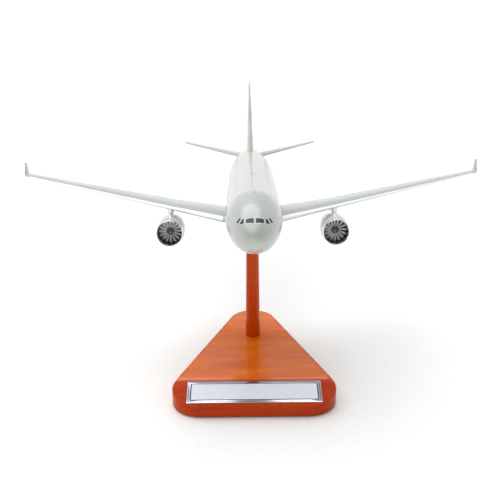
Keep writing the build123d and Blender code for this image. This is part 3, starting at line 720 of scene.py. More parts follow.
def makeWing(side, word):
    spanPlaces = sorted({place for line in wingLines.values() for place in line[:2]})
    sharePlaces = sorted({place for line in wingLines.values() for place in line[2:4] if 0 < place < 1})
    xs = withSteps(np.append(np.linspace(wing["inner"], wing["tip"], 70), wing["kink"]), spanPlaces, 0.25)
    shares = withSteps(cosineSteps(44), sharePlaces, 0.0035)
    points, grooveAndShade = wingGrid(side, xs, shares)
    # painted shade: a greyer band on top, behind the bright edge, fading out along the span
    behind = np.concatenate([shares[::-1], np.ones(len(shares) - 1)])
    paintedShadeBand = np.clip(1 - np.abs(behind - wing["paintedShadeBand"]) / wing["paintedShadeBand"], 0, 1)
    paintedShadeBand = paintedShadeBand * between(xs[:, None], xs[0], xs[-1], *wing["paintedShadeStrength"])
    marks = capped(np.maximum(grooveAndShade * 0.7, paintedShadeBand))
    return makePiece(word + "WingSkin", "airframe", finishes["wing"], tube(points),
                     replaces=[word + "_wing"], smooth=40, marks={"grooveAndShade": marks})


slat = {
    "from": 33.0, "to": 281.0, "upper": 0.055, "lower": 0.03, "lift": 0.08, "sink": 0.25,
    # the stripe under the leading edge is painted shade, given at the root and the tip
    "shadeStripe": (1.0, 0.45),                      # strength at the root and the tip
}


def makeEdge(side, word):
    # The bright leading edge, whose white is a painted highlight: a thin shell over the front of the section,
    # from under to over, with a painted shade stripe along its underside that weakens towards the tip.
    xs = np.linspace(slat["from"], slat["to"], 60)
    under = -slat["lower"] * cosineSteps(24)[::-1]
    over = slat["upper"] * cosineSteps(24)[1:]
    signed = np.concatenate([under, over])[None, :]
    share, way = np.abs(signed), np.sign(signed)
    x = xs[:, None]
    chord = wingChord(x)
    z = wingHeight(x) + wing["camber"] * chord * 4 * share * (1 - share)
    z = z + way * foilHalf(share, wingThickness(x), wing["edge"])
    surface = np.stack([np.broadcast_to(side * x, z.shape), wingEdge(x) + chord * share, z], -1)
    normals = np.cross(np.gradient(surface, axis=0), np.gradient(surface, axis=1))
    normals /= np.linalg.norm(normals, axis=-1, keepdims=True)
    front = surface.shape[1] // 2
    if normals[30, front, 1] > 0:
        normals = -normals
    # painted shade: the dark stripe along the edge's underside, strongest at the root
    shadow = np.clip((-signed - 0.002) / 0.004, 0, 1)
    shadow = shadow * between(x, slat["from"], slat["to"], *slat["shadeStripe"])
    return makePiece(word + "LeadingEdge", "airframe", finishes["edge"],
                     slab(surface, normals, slat["lift"], slat["sink"]),
                     marks={"grooveAndShade": np.concatenate([shadow, shadow])})


winglet = {"height": 15.0, "reach": 4.8, "lean": 82.0, "topChord": 10.0, "trail": 1.02}


def makeWinglet(side, word):
    # The section is carried round an arc from the wing's dihedral to the lean, then straight up,
    # and shrinks on the way while its trailing edge stays nearly in line.
    first, last = radians(wing["dihedral"]), radians(winglet["lean"])
    reach, height = winglet["reach"], winglet["height"]
    out = np.array([[sin(last) - sin(first), cos(last)], [cos(first) - cos(last), sin(last)]])
    radius, straight = np.linalg.solve(out, [reach, height])
    bend = first + (last - first) * np.linspace(0, 1, 16)
    left = straight - np.linspace(0, straight, 14)[1:]
    x = np.concatenate([radius * (np.sin(bend) - sin(first)), reach - left * cos(last)])
    z = np.concatenate([radius * (cos(first) - np.cos(bend)), height - left * sin(last)])
    turn = np.concatenate([(bend - first) / (last - first) * last, np.full(len(left), last)])
    climb = z / height
    chord = wing["tipChord"] + (winglet["topChord"] - wing["tipChord"]) * np.sqrt(climb) ** 1.15
    share, way = sectionLoop(cosineSteps(40))
    size = (chord / wing["tipChord"])[:, None]
    thickness = wing["tipChord"] * wing["ratios"][2] * size
    half = foilHalf(share, thickness, wing["edge"] * size) * way
    camber = wing["camber"] * wing["tipChord"] * size * (1 - climb[:, None])
    half = half + camber * 4 * share * (1 - share)
    tip = np.float64(wing["tip"])
    trail = wingEdge(tip) + wing["tipChord"] * (1 + (winglet["trail"] - 1) * climb)
    y = (trail - chord)[:, None] + chord[:, None] * share
    px = side * (tip + x[:, None] - half * np.sin(turn)[:, None])
    pz = wingHeight(tip) + z[:, None] + half * np.cos(turn)[:, None]
    return makePiece(word + "WingletSkin", "airframe", finishes["wing"], tube(np.stack([px, y, pz], -1)),
                     replaces=[word + "_winglet"], smooth=40)


tracks = {
    "places": (62.0, 122.0, 168.0, 214.0), "length": 40.0, "overhang": 2.0, "depth": 4.6, "thickness": 4.0,
    "lastSize": 0.72, "tipDrop": 0.4, "deepest": 0.33, "noseRun": 0.3, "leadIn": 6.0,
}


def makeTracks(side, word):
    # Boat-shaped covers: an oval at each place along, from the wing's middle down to a belly line
    # that drops fast, is deepest at a third and rises to the tip.
    shells = []
    for x in tracks["places"]:
        size = between(x, tracks["places"][0], tracks["places"][-1], 1, tracks["lastSize"])
        length, depth, thick = (size * tracks[key] for key in ("length", "depth", "thickness"))
        t = cosineSteps(36)[:, None]
        trailing = wingEdge(x) + float(wingChord(np.float64(x)))
        y = trailing + size * tracks["overhang"] - length + length * t
        down = np.sin(np.minimum(t / tracks["deepest"], 1) * pi / 2) ** 0.8
        back = np.clip((t - tracks["deepest"]) / (1 - tracks["deepest"]), 0, 1) ** 1.5
        fall = np.where(t < tracks["deepest"], down, 1 - (1 - tracks["tipDrop"]) * back)
        low = wingHeight(x) - depth * fall
        past = between(y, trailing - tracks["leadIn"], trailing + size * tracks["overhang"], 0, 1)
        behind = np.clip(past, 0, 1)
        high = wingHeight(x) - depth * tracks["tipDrop"] * behind
        nose, stern = np.sqrt(np.clip(t / tracks["noseRun"], 0, 1)), ((1.02 - t) / 0.5) ** 0.6
        wide = thick / 2 * np.clip(np.minimum(nose, stern), 0, 1)
        angles = np.linspace(0, 2 * pi, 28, endpoint=False)
        px = side * x + wide * np.cos(angles)
        pz = (low + high) / 2 + (high - low) / 2 * np.sin(angles)
        shells.append(tube(np.stack([px, np.broadcast_to(y, px.shape), pz], -1)))
    return makePiece(word + "FlapTrackCovers", "airframe", finishes["wing"], joined(shells),
                     replaces=[word + "_flap_fairings"])


for side, word in sides.items():
    makeWing(side, word)
    makeEdge(side, word)
    makeWinglet(side, word)
    makeTracks(side, word)
print("wings made")


# Engines: outlines carried round the fan's axis.

inlet = offStand(joints["left_fan_spin"]["pos_m"])
engine = {
    "offset": inlet[0], "station": inlet[1], "height": inlet[2],
    "radius": 16.2, "inletRadius": 13.5, "lipLength": 4.5, "lipStep": 1.3,
    "cowlLength": 52.0, "widest": 21.0, "exitRadius": 13.4, "exitWall": 0.9, "exitDepth": 6.0,
    "wallDepth": 20.0, "wall": 11.0, "coreBore": 7.8, "axleBore": 2.3,
    "seams": (8.5, 24.0, 37.0), "seamWidth": 0.4, "seamDepth": 0.12,
}
rotor = {
    "blades": 16, "tipGap": 0.4, "hubRadius": 4.4, "hubLength": 5.4, "spinner": 6.0,
    "rootPitch": 32.0, "tipPitch": 58.0, "rootChord": 3.2, "tipChord": 4.0, "thickness": 0.5, "hubGap": 0.5,
    "rootSunk": 0.6, "arch": 0.28, "axleRadius": 1.05,
}
core = {
    "frontRadius": 9.4, "exitRadius": 6.6, "wall": 0.7, "length": 68.0, "boreDepth": 8.0,
    "plugRadius": 4.2, "plugLength": 77.0, "plugTip": 0.7, "spigot": 4.0, "spigotRadius": 7.7,
}


def hermite(t, start, end, leave, arrive):  # cubic from start to end with given slopes
    return ((2 * t**3 - 3 * t**2 + 1) * start + (t**3 - 2 * t**2 + t) * leave
            + (3 * t**2 - 2 * t**3) * end + (t**3 - t**2) * arrive)


def curve(first, last, leave, arrive):  # (along, radius) points; slopes are radius over length
    t = cosineSteps(24)
    run = last[0] - first[0]
    return np.column_stack([first[0] + run * t, hermite(t, first[1], last[1], leave * run, arrive * run)])


def turned(profile, side, around=96):
    # A closed outline of (aft of the inlet, radius), carried round the engine's axis.
    angles = np.linspace(0, 2 * pi, around, endpoint=False)
    along, radius = profile[:, :1], profile[:, 1:2]
    grid = np.stack([
        side * engine["offset"] + radius * np.cos(angles),
        engine["station"] + along + 0 * angles,
        engine["height"] + radius * np.sin(angles),
    ], -1)
    grid = np.concatenate([grid, grid[:1]])
    return grid, gridFaces(*grid.shape[:2], loop=True)


def cowlOutside():
    # One cubic from the lip to the widest place and one to the exit, with the seams cut into them.
    front = engine["radius"] - engine["lipStep"]
    first = curve((engine["lipLength"], front), (engine["widest"], engine["radius"]), 0.17, 0.0)
    last = curve((engine["widest"], engine["radius"]), (engine["cowlLength"], engine["exitRadius"]), 0.0, -0.14)
    along = np.concatenate([first, last[1:]])
    places = withSteps(along[:, 0], engine["seams"], engine["seamWidth"] / 2)
    radius = np.interp(places, along[:, 0], along[:, 1])
    near = np.abs(places[:, None] - np.array(engine["seams"])).min(1)
    seam = grooveAt(near, engine["seamWidth"] / 2)
    return np.column_stack([places, radius - seam * engine["seamDepth"]]), seam


def makeCowl(side, word):
    # The cowl's outline runs back over the outside, in at the exit and forward to the lip. The duct is
    # the wall inside it, which carries the fan.
    outside, seam = cowlOutside()
    lip, exitEnd = engine["lipLength"], engine["cowlLength"]
    seat, wallFront = exitEnd - engine["exitDepth"], engine["wallDepth"]
    wallBack = wallFront + engine["wall"]
    wallMiddle = (engine["inletRadius"] + engine["radius"] - engine["lipStep"]) / 2
    exitRadius = engine["exitRadius"] - engine["exitWall"]
    inside = np.array([
        (exitEnd, exitRadius), (seat, exitRadius - 0.6), (seat, engine["coreBore"]),
        (wallBack, engine["coreBore"]), (wallBack, wallMiddle), (lip, wallMiddle),
    ])
    grid, faces = turned(np.concatenate([outside, inside]), side)
    lines = np.concatenate([seam, np.zeros(len(inside)), seam[:1]]) * 0.75
    makePiece(word + "CowlSkin", "airframe", finishes["cowl"], (grid, faces), replaces=[word + "_nacelle"],
              marks={"grooveAndShade": np.broadcast_to(lines[:, None], grid.shape[:2])})
    duct = np.array([
        (lip, wallMiddle), (lip, engine["inletRadius"]), (wallFront, engine["inletRadius"]),
        (wallFront, engine["axleBore"]), (wallBack, engine["axleBore"]), (wallBack, wallMiddle),
    ])
    makePiece(word + "FanDuct", "airframe", finishes["duct"], turned(duct, side))


def makeLip(side, word):
    # A half oval from the duct round the front to the cowl.
    front = engine["radius"] - engine["lipStep"]
    middle, half = (engine["inletRadius"] + front) / 2, (front - engine["inletRadius"]) / 2
    turn = np.linspace(0, pi, 28)
    profile = np.column_stack([engine["lipLength"] * (1 - np.sin(turn) ** 0.8), middle - half * np.cos(turn)])
    makePiece(word + "LipRing", "airframe", finishes["lip"], turned(profile, side),
              replaces=[word + "_inlet_lip"])


def makeFan(side, word):
    # The hub is a drum behind a nose whose radius grows as a power of the way along it.
    front = engine["wallDepth"] - rotor["hubGap"] - rotor["hubLength"]
    back = front + rotor["hubLength"]
    share = cosineSteps(24)
    nose = np.column_stack([front - rotor["spinner"] * (1 - share), rotor["hubRadius"] * share ** 0.625])
    bore = rotor["axleRadius"]
    rest = np.array([(back, rotor["hubRadius"]), (back, bore), (front + 1, bore), (front + 1, 0.0)])
    makePiece(word + "FanHub", word + "_fan_rotor", finishes["hub"],
              turned(np.concatenate([nose, rest]), side, 64), replaces=[word + "_fan"])
    # One blade: rows from root to tip, columns round a thin arched section, turned more towards the tip.
    reach = cosineSteps(16)[:, None]
    radius = between(
        reach, 0, 1, rotor["hubRadius"] - rotor["rootSunk"], engine["inletRadius"] - rotor["tipGap"],
    )
    pitch = np.radians(between(reach, 0, 1, rotor["rootPitch"], rotor["tipPitch"]))
    chord = between(reach, 0, 1, rotor["rootChord"], rotor["tipChord"]) * (1 - 0.1 * reach**6)
    turn = np.linspace(0, 2 * pi, 20, endpoint=False)
    flat = chord / 2 * np.cos(turn)
    thick = rotor["thickness"] / 2 * np.sin(turn) * (1 - 0.45 * reach)
    thick = thick + rotor["arch"] * (1 - (2 * flat / chord) ** 2)
    along = flat * np.cos(pitch) - thick * np.sin(pitch)
    swing = (flat * np.sin(pitch) + thick * np.cos(pitch)) / radius
    shells = []
    for k in range(rotor["blades"]):
        angle = 2 * pi * k / rotor["blades"] + pi / 2 - swing
        grid = np.stack([
            side * engine["offset"] + radius * np.cos(angle),
            engine["station"] + (front + back) / 2 + along,
            engine["height"] + radius * np.sin(angle),
        ], -1)
        shells.append(tube(grid))
    makePiece(word + "FanBlades", word + "_fan_rotor", finishes["blade"], joined(shells),
              smooth=50)


def makeCore(side, word):
    # A nozzle that narrows along a cubic, with a bore in its end, and the plug in that bore.
    seat, tip, spigot = engine["cowlLength"] - engine["exitDepth"], core["length"], core["spigotRadius"]
    outside = curve((seat, core["frontRadius"]), (tip, core["exitRadius"]), -0.06, -0.24)
    inner, boreEnd = core["exitRadius"] - core["wall"], tip - core["boreDepth"]
    rest = np.array([
        (tip, inner), (boreEnd, inner), (boreEnd, 0.0),
        (seat - core["spigot"], 0.0), (seat - core["spigot"], spigot), (seat, spigot),
    ])
    makePiece(word + "CoreNozzle", "airframe", finishes["exhaust"],
              turned(np.concatenate([outside, rest]), side),
              replaces=[word + "_core_cowl"])
    cone = curve((boreEnd, core["plugRadius"]), (core["plugLength"], core["plugTip"]), 0.05, -0.28)
    close = np.array([(core["plugLength"], 0.0), (boreEnd - 1, 0.0), (boreEnd - 1, core["plugRadius"])])
    makePiece(word + "NozzlePlug", "airframe", finishes["exhaust"],
              turned(np.concatenate([cone, close]), side, 64),
              replaces=[word + "_exhaust_plug"])


pylon = {
    "thickness": 6.4, "foot": 12.0, "tailThickness": 0.7, "noseRun": 0.16,
    "footFlare": 0.5, "headFlare": 0.4, "cowlInset": 5.0, "wingInset": 14.0,
    # rows of the front line: above the cowl and aft of the foot, then above the wing and aft of its edge
    "overCowl": ((-3.0, -4.0), (-1.0, 0.0), (0.6, 3.2), (2.2, 5.4)),
    "underWing": ((-4.0, -4.4), (-2.6, -3.2), (-1.0, -0.6), (0.4, 3.0)),
}


def makePylon(side, word):
    # Rows from inside the cowl to inside the wing, which follow a front line and a back line. Each is a
    # blade with a round nose and a thin tail, and it widens towards the cowl and the wing.
    offset, station, height = engine["offset"], engine["station"], engine["height"]
    x = np.float64(offset)
    edge, level, chord = wingEdge(x), wingHeight(x), float(wingChord(x))
    cowlTop = height + engine["radius"]
    over = np.array(pylon["overCowl"]) + (cowlTop, station + pylon["foot"])
    under = np.array(pylon["underWing"]) + (level, edge)
    heights, fronts = np.concatenate([over, under]).T
    lowBack, highBack = station + engine["cowlLength"] - pylon["cowlInset"], edge + chord - pylon["wingInset"]
    backs = between(heights, heights[0], heights[-1], lowBack, highBack)
    rows = np.linspace(0, len(heights) - 1, 29)
    heights, fronts, backs = (np.interp(rows, range(len(line)), line) for line in (heights, fronts, backs))
    share = cosineSteps(36)
    widest = pylon["thickness"] / 2
    half = widest * (share / pylon["noseRun"]).clip(0, 1) ** 0.5
    half = np.minimum(half, between(share, 0.45, 1, widest, pylon["tailThickness"] / 2))
    flare = 1 + pylon["footFlare"] * np.clip((cowlTop + 1.2 - heights) / 3.5, 0, 1) ** 2
    flare = flare + pylon["headFlare"] * np.clip((heights - level + 5) / 4, 0, 1) ** 2
    loop = np.concatenate([share, share[-2:0:-1]])
    y = fronts[:, None] + (backs - fronts)[:, None] * loop
    px = side * offset + np.concatenate([half, -half[-2:0:-1]]) * flare[:, None]
    pz = np.broadcast_to(heights[:, None], y.shape)
    return makePiece(word + "PylonSkin", "airframe", finishes["pylon"], tube(np.stack([px, y, pz], -1)),
                     replaces=[word + "_pylon"], smooth=50)


for side, word in sides.items():
    makeCowl(side, word)
    makeLip(side, word)
    makeFan(side, word)
    makeCore(side, word)
    makePylon(side, word)
print("engines made")


# Tail: the wings' section again, upright for the fin and level for the stabilizers.

fin = {
    "rootStation": body["length"] - 126.0, "rootChord": 96.0, "top": 119.5, "sweep": 45.5, "topChord": 27.0,
    "rootThickness": 9.6, "topThickness": 2.3, "sunk": 8.0, "hinge": 0.68, "edge": 0.35,
    "hingeFrom": 9.0, "hingeTo": 3.0, "bandLean": 0.12,
}
stabilizer = {
    "rootStation": body["length"] - 92.0, "rootChord": 52.0, "tip": 97.0, "tipChord": 19.0, "sweep": 32.0,
    "rootHeight": 14.8, "dihedral": 10.4, "ratio": 0.10, "inner": 3.0, "hinge": 0.7, "edge": 0.35,
    "rootPlace": 12.0, "hingeFrom": 20.0, "hingeTo": 92.0,
}
hingeLine = {"halfWidth": 0.45, "depth": 0.12}
antenna = {"stations": (62.0, 196.0), "height": 3.4, "chord": 6.0, "thickness": 1.0}


def makeFin():
    # The section at each height, swept back, with its top softened and the hinge of the rudder engraved.
    share, way = sectionLoop(withSteps(cosineSteps(40), [fin["hinge"]], 0.006))
    foot = float(crown(np.float64(fin["rootStation"])))
    rise = fin["top"] - foot
    up = np.linspace(-fin["sunk"], rise, 60)[:, None]
    soft = np.clip((up - rise + 1.2) / 1.2, 0, 1) ** 3
    chord = between(up, 0, rise, fin["rootChord"], fin["topChord"])
    thickness = between(up, 0, rise, fin["rootThickness"], fin["topThickness"])
    grooveAndShade = grooveAt(np.abs(share - fin["hinge"]) * chord, hingeLine["halfWidth"])
    grooveAndShade = grooveAndShade * (up > fin["hingeFrom"]) * (up < rise - fin["hingeTo"])
    x = foilHalf(share, thickness, fin["edge"]) * (1 - 0.35 * soft) - hingeLine["depth"] * grooveAndShade
    y = fin["rootStation"] + up * tan(radians(fin["sweep"])) + chord * share
    z = np.broadcast_to(foot + up, y.shape)
    levels = np.clip(up / rise, 0, 1) + fin["bandLean"] * (share - 0.5)        # the bands lean with the chord
    return makePiece("finSkin", "airframe", finishes["fin"], tube(np.stack([x * way, y, z], -1)),
                     replaces=["fin"], smooth=50,
                     marks={"grooveAndShade": capped(grooveAndShade * 0.7), "rise": capped(levels, "edge")})


def makeStabilizer(side, word):
    # The section at each place out, swept back and raised, with its end softened and the hinge engraved.
    share, way = sectionLoop(withSteps(cosineSteps(40), [stabilizer["hinge"]], 0.006))
    tip, root = stabilizer["tip"], stabilizer["rootPlace"]
    x = np.linspace(stabilizer["inner"], tip, 50)[:, None]
    chord = between(x, root, tip, stabilizer["rootChord"], stabilizer["tipChord"])
    grooveAndShade = grooveAt(np.abs(share - stabilizer["hinge"]) * chord, hingeLine["halfWidth"])
    grooveAndShade = grooveAndShade * (x > stabilizer["hingeFrom"]) * (x < stabilizer["hingeTo"])
    half = foilHalf(share, chord * stabilizer["ratio"], stabilizer["edge"])
    half = half * (1 - 0.35 * np.clip(x - tip + 1, 0, 1) ** 3) - hingeLine["depth"] * grooveAndShade
    z = stabilizer["rootHeight"] + (x - root) * tan(radians(stabilizer["dihedral"])) + half * way
    y = stabilizer["rootStation"] + (x - root) * tan(radians(stabilizer["sweep"])) + chord * share
    return makePiece(word + "StabilizerSkin", "airframe", finishes["tail"],
                     tube(np.stack([np.broadcast_to(side * x, y.shape), y, z], -1)),
                     replaces=[word + "_stabilizer"], smooth=50,
                     marks={"grooveAndShade": capped(grooveAndShade * 0.7)})


def makeAntennas():
    # Leaning ovals that halve in size on the way up and close in a round top.
    share = np.linspace(0, 2 * pi, 28, endpoint=False)[None, :]
    up = np.linspace(0, 1, 14)[:, None]
    size = (1 - 0.5 * up) * np.sqrt(np.clip(1 - np.clip((up - 0.8) / 0.22, 0, 1) ** 2, 0.02, 1))
    shells = []
    for station in antenna["stations"]:
        foot = float(crown(np.float64(station))) - 1
        y = station + 0.55 * antenna["chord"] * up + antenna["chord"] / 2 * size * np.cos(share)
        x = antenna["thickness"] / 2 * size * np.sin(share)
        z = np.broadcast_to(foot + (antenna["height"] + 1) * up, y.shape)
        shells.append(tube(np.stack([x, y, z], -1)))
    return makePiece("antennaBlades", "airframe", finishes["pearl"], joined(shells),
                     replaces=["antennas"])


makeFin()
for side, word in sides.items():
    makeStabilizer(side, word)
makeAntennas()
print("tail made")


# Stand, drawn in millimetres about the post's foot.

def asMetres(points):
    return points * mm


boardLow, boardHigh = (np.array(corner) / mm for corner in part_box("base_board"))
board = {
    "halfWidth": boardHigh[0], "front": -boardLow[1], "back": boardHigh[1],
    "low": boardLow[2], "top": boardHigh[2], "corner": 32.0, "apex": 28.8,
    "bevelStart": 108.8, "bevelDrop": 7.3, "edge": 1.0, "ridge": 1.2, "underEdge": 0.3,
}


def boardTop(y):
    # Level behind the ridge and falling evenly ahead of it; a smooth minimum rounds the ridge.
    fall = board["bevelDrop"] / (board["front"] - board["bevelStart"])
    slope = (y + board["bevelStart"]) * fall
    return board["top"] + (slope - np.sqrt(slope**2 + (board["ridge"] * fall) ** 2)) / 2


def boardGrid(inset):
    # Rows from the front edge to the apex. A row reaches from the outline's left to its right, and the
    # outline is a corner arc, a tangent and an apex arc.
    front = np.array([board["halfWidth"] - board["corner"], board["corner"] - board["front"]])
    apex = np.array([0, board["back"] - board["apex"]])
    run = apex - front
    length = hypot(*run)
    lean = (board["corner"] - board["apex"]) / length
    along = run / length
    normal = along * lean + np.array([along[1], -along[0]]) * (1 - lean**2) ** 0.5
    angle = atan2(normal[1], normal[0])
    first = np.linspace(-pi / 2, angle, 28)[:, None]
    last = np.linspace(angle, pi / 2, 28)[:, None]
    cornerArc = front + (board["corner"] - inset) * np.hstack([np.cos(first), np.sin(first)])
    apexArc = apex + (board["apex"] - inset) * np.hstack([np.cos(last), np.sin(last)])
    straight = cornerArc[-1] + (apexArc[0] - cornerArc[-1]) * np.linspace(0, 1, 40)[1:-1, None]
    edge = np.concatenate([cornerArc, straight, apexArc])
    near = np.argsort(np.abs(edge[:, 1] + board["bevelStart"]))[0]
    edge[near, 1] = -board["bevelStart"]                              # a row on the ridge
    x = edge[:, :1] * np.linspace(-1, 1, 41)
    y = np.broadcast_to(edge[:, 1:], x.shape)
    return x, y


def ringOf(grid):  # the border of a rows x columns grid, once round
    return np.concatenate([grid[0], grid[1:, -1], grid[-2:0:-1, 0]])


def makeBoard():
    # Top and bottom grids, and a wall that rounds the top edge with a quarter turn and breaks the lower one.
    edge, under = board["edge"], board["underEdge"]
    x, y = boardGrid(edge)
    topGrid = np.stack([x, y, boardTop(y)], -1)
    bottomGrid = np.stack([x, y, np.full_like(x, board["low"])], -1)
    rings = []
    for turn in np.linspace(0, pi / 2, 7):
        rx, ry = boardGrid(edge * (1 - sin(turn)))
        rings.append(np.stack([ringOf(rx), ringOf(ry), boardTop(ringOf(y)) - edge * (1 - cos(turn))], -1))
    for inset, level in ((0, under), (under, 0), (edge, 0)):
        rx, ry = boardGrid(inset)
        rings.append(np.stack([ringOf(rx), ringOf(ry), np.full(len(ringOf(rx)), board["low"] + level)], -1))
    wall = np.stack(rings)
    ahead = np.clip((-board["bevelStart"] - 0.5 - y) / 1.5, 0, 1).ravel()     # the bevel is a cut face too
    marks = np.concatenate([ahead, ahead, np.ones(wall[..., 0].size)])
    shells = [
        (topGrid, gridFaces(*topGrid.shape[:2])), (bottomGrid, gridFaces(*bottomGrid.shape[:2])),
        (wall, gridFaces(*wall.shape[:2], loop=True)),
    ]
    return makePiece("boardBody", "stand", finishes["board"], joined(shells), place=asMetres,
                     replaces=["base_board"], smooth=30, marks={"cut": marks})


post = {
    "foot": 8.9, "head": 7.1, "low": board["top"] - 0.4, "high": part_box("post")[1].z / mm,
    "bore": 4.68, "boreDepth": 24.0, "soften": 0.4,
}


def makePost():
    # An even taper, softened at the top's rim, with the bush's bore down its middle.
    height = np.linspace(post["low"], post["high"] - post["soften"], 40)
    wall = np.column_stack([height, between(height, board["top"], post["high"], post["foot"], post["head"])])
    turn = np.linspace(0, pi / 2, 6)
    rim = np.column_stack([
        post["high"] - post["soften"] * (1 - np.sin(turn)), post["head"] - post["soften"] * (1 - np.cos(turn)),
    ])
    bore = np.array([
        (post["high"], post["bore"]), (post["high"] - post["boreDepth"], post["bore"]),
        (post["high"] - post["boreDepth"], 0.0), (post["low"], 0.0),
    ])
    profile = np.concatenate([wall, rim, bore, wall[:1]])
    angles = np.linspace(0, 2 * pi, 80, endpoint=False)
    grid = np.stack([
        profile[:, 1:] * np.cos(angles), profile[:, 1:] * np.sin(angles), profile[:, :1] + 0 * angles,
    ], -1)
    return makePiece("postBody", "stand", finishes["post"], (grid, gridFaces(*grid.shape[:2], loop=True)),
                     place=asMetres, replaces=["post"], smooth=40)


label = mounts["label_face"]
plate = {
    "width": 150.0, "height": 36.0, "thickness": 1.0, "corner": 0.8, "bevel": 0.45,
    "margin": 5.0, "panel": 0.3, "lift": 0.04, "sink": 0.05, "lineCorner": 0.4,
    "lines": ((1.3, 2.0), (3.7, 5.2)),        # navy border lines, from and to, in from the plate's edge
}


def onPlate(points):  # x to the right, y up the slope, z above the plate's top face
    normal = Vector(label["axis"]).normalized()
    right = Vector((1, 0, 0))
    up = normal.cross(right)
    turn = np.array([right, up, normal])
    return np.array(label["pos_m"]) + (points - np.array([0, 0, plate["panel"]])) @ turn * mm


def roundedRectangle(width, height, corner, around=48):
    # Quarter turns about four corner centres, once round.
    turn = np.linspace(0, 2 * pi, around, endpoint=False) + pi / around
    x = np.sign(np.cos(turn)) * (width / 2 - corner) + corner * np.cos(turn)
    y = np.sign(np.sin(turn)) * (height / 2 - corner) + corner * np.sin(turn)
    return np.stack([x, y], -1)


def layered(width, height, corner, steps):
    # steps: inset and level of each ring, from the bottom up
    rings = []
    for inset, level in steps:
        flat = roundedRectangle(width - 2 * inset, height - 2 * inset, max(corner - inset, 0.15))
        rings.append(np.column_stack([flat, np.full(len(flat), level)]))
    return tube(np.stack(rings))


def makePlate():
    # Three layers of rounded rectangles: the bevelled plate, the enamel field and the navy border lines.
    bevel, thickness = plate["bevel"], plate["thickness"]
    makePiece("plateBody", "stand", finishes["plate"], layered(
        plate["width"], plate["height"], plate["corner"],
        [(0, -thickness), (0, -bevel), (bevel * 0.35, -bevel * 0.35), (bevel, 0)],
    ), place=onPlate, replaces=["nameplate"])
    margin, rise = plate["margin"], plate["panel"]
    makePiece("platePanel", "stand", finishes["enamel"], layered(
        plate["width"] - 2 * margin, plate["height"] - 2 * margin, plate["corner"] / 2,
        [(0, -plate["sink"]), (0, rise - 0.1), (0.1, rise)],
    ), place=onPlate, replaces=["nameplate_panel"])
    shells = []
    for outer, inner in plate["lines"]:
        rings, above, below = [], plate["lift"], -plate["sink"]
        for inset, level in ((outer, above), (inner, above), (inner, below), (outer, below), (outer, above)):
            size = plate["width"] - 2 * inset, plate["height"] - 2 * inset
            flat = roundedRectangle(*size, plate["lineCorner"])
            rings.append(np.column_stack([flat, np.full(len(flat), level)]))
        grid = np.stack(rings)
        shells.append((grid, gridFaces(*grid.shape[:2], loop=True)))
    makePiece("plateLines", "stand", finishes["navy"], joined(shells), place=onPlate)


makeBoard()
makePost()
makePlate()
print("stand made")


# Pieces that keep the frame's shape and only get their finish.

kept = {
    "base_felt": "felt", "post_screw": "steel", "support_pin": "steel", "post_bush": "brass",
    "belly_bush": "brass",
    "wing_dowels": "plain", "tail_dowels": "plain",
    "left_fan_axle": "steel", "right_fan_axle": "steel", "left_fan_bush": "brass", "right_fan_bush": "brass",
}
for node, finish in kept.items():
    slots = frame["nodes"][node].material_slots
    for k in range(len(slots)):
        slots[k].material = finishes[finish]
    if not len(slots):
        frame["nodes"][node].data.materials.append(finishes[finish])
print("kept pieces finished:", len(kept))


# Studio and camera.

studio = {
    "floor": 120.0, "floorTones": ("#F1F1EF", "#FBFBFA"),
    "front": 0.3, "back": 0.9, "overhead": 0.7,     # brightness of the room ahead, behind and above
    "sunStrength": 2.5, "sunSpread": 75.0, "sunFrom": (-0.25, 0.35, 1.0),
    # name: place, size and power in watts of the two lamps beside the camera
    "lamps": {"leftLamp": ((-0.4, -1.6, 0.4), 0.14, 3.4), "rightLamp": ((0.3, -1.6, 0.42), 0.14, 1.6)},
    "aim": (0.0, 0.0, 0.2),
}
lens = {
    "place": (-0.0099, -0.9739, 0.5354), "pitch": 22.36, "yaw": 0.41, "roll": -0.35,
    "focal": 63.06, "sensor": 36.0,
}


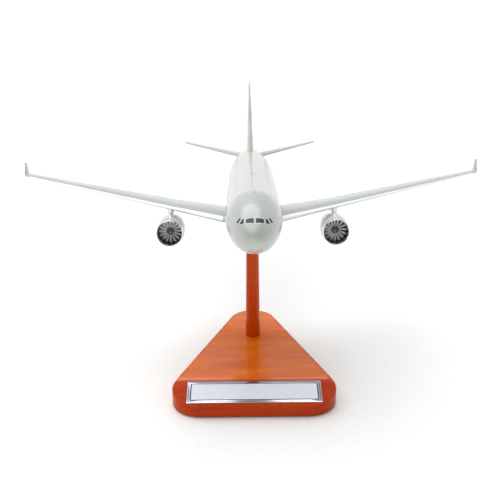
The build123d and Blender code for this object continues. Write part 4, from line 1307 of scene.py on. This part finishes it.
def makeStudio():
    mesh = bpy.data.meshes.new("floor")
    half = studio["floor"] / 2
    corners = [(-half, -half, 0), (half, -half, 0), (half, half, 0), (-half, half, 0)]
    mesh.from_pydata(corners, [], [(0, 1, 2, 3)])
    material, tree, shader = newMaterial("mattPaperFloor", Roughness=0.9)
    fibre = addNode(tree, "TexNoise", {"Vector": metres(tree), "Scale": 400.0, "Detail": 3.0})
    tones = list(zip((0.3, 0.7), studio["floorTones"]))
    tone = rampStops(addNode(tree, "ValToRGB", {"Fac": fibre.outputs[0]}), tones)
    tree.links.new(tone.outputs[0], shader.inputs["Base Color"])
    mesh.materials.append(material)
    floor = bpy.data.objects.new("floor", mesh)
    bpy.context.scene.collection.objects.link(floor)
    # The room: bright behind the model, dimmer overhead and dark on the camera's side.
    world = bpy.data.worlds.new("studio")
    world.use_nodes = True
    tree = world.node_tree
    toward = addNode(tree, "SeparateXYZ", {0: addNode(tree, "TexCoord").outputs["Generated"]})
    depth = addNode(tree, "MapRange", {
        "Value": toward.outputs["Y"], "From Min": -0.4, "From Max": 0.5,
        "To Min": studio["front"], "To Max": studio["back"],
    }, interpolation_type="SMOOTHSTEP")
    rise = addNode(tree, "MapRange", {
        "Value": toward.outputs["Z"], "From Min": 0.45, "From Max": 0.8,
        "To Min": 1.0, "To Max": studio["overhead"],
    }, interpolation_type="SMOOTHSTEP")
    glow = addNode(tree, "Math", {0: depth.outputs[0], 1: rise.outputs[0]}, operation="MULTIPLY")
    background = tree.nodes["Background"]
    tree.links.new(glow.outputs[0], background.inputs["Strength"])
    background.inputs["Color"].default_value = (1, 1, 1, 1)
    bpy.context.scene.world = world
    sun = bpy.data.lights.new("overheadDiffuser", "SUN")
    sun.energy, sun.angle = studio["sunStrength"], radians(studio["sunSpread"])
    lamps = [(sun, studio["sunFrom"], (0, 0, 0))]
    for name, (place, size, power) in studio["lamps"].items():
        light = bpy.data.lights.new(name, "AREA")
        light.shape, light.size, light.energy = "SQUARE", size, power
        lamps.append((light, place, studio["aim"]))
    for light, place, aim in lamps:
        lamp = bpy.data.objects.new(light.name, light)
        lamp.location = place
        lamp.rotation_euler = (Vector(aim) - Vector(place)).to_track_quat("-Z", "Y").to_euler()
        bpy.context.scene.collection.objects.link(lamp)


def makeCamera():
    data = bpy.data.cameras.new("camera")
    data.lens, data.sensor_width = lens["focal"], lens["sensor"]
    camera = bpy.data.objects.new("camera", data)
    yaw, roll = (Matrix.Rotation(radians(angle), 4, "Z") for angle in (-lens["yaw"], lens["roll"]))
    pitch = Matrix.Rotation(radians(90 - lens["pitch"]), 4, "X")
    camera.matrix_world = Matrix.Translation(lens["place"]) @ yaw @ pitch @ roll
    bpy.context.scene.collection.objects.link(camera)
    bpy.context.scene.camera = camera


makeStudio()
makeCamera()
bpy.context.scene.view_settings.view_transform = "Standard"
print("studio made")
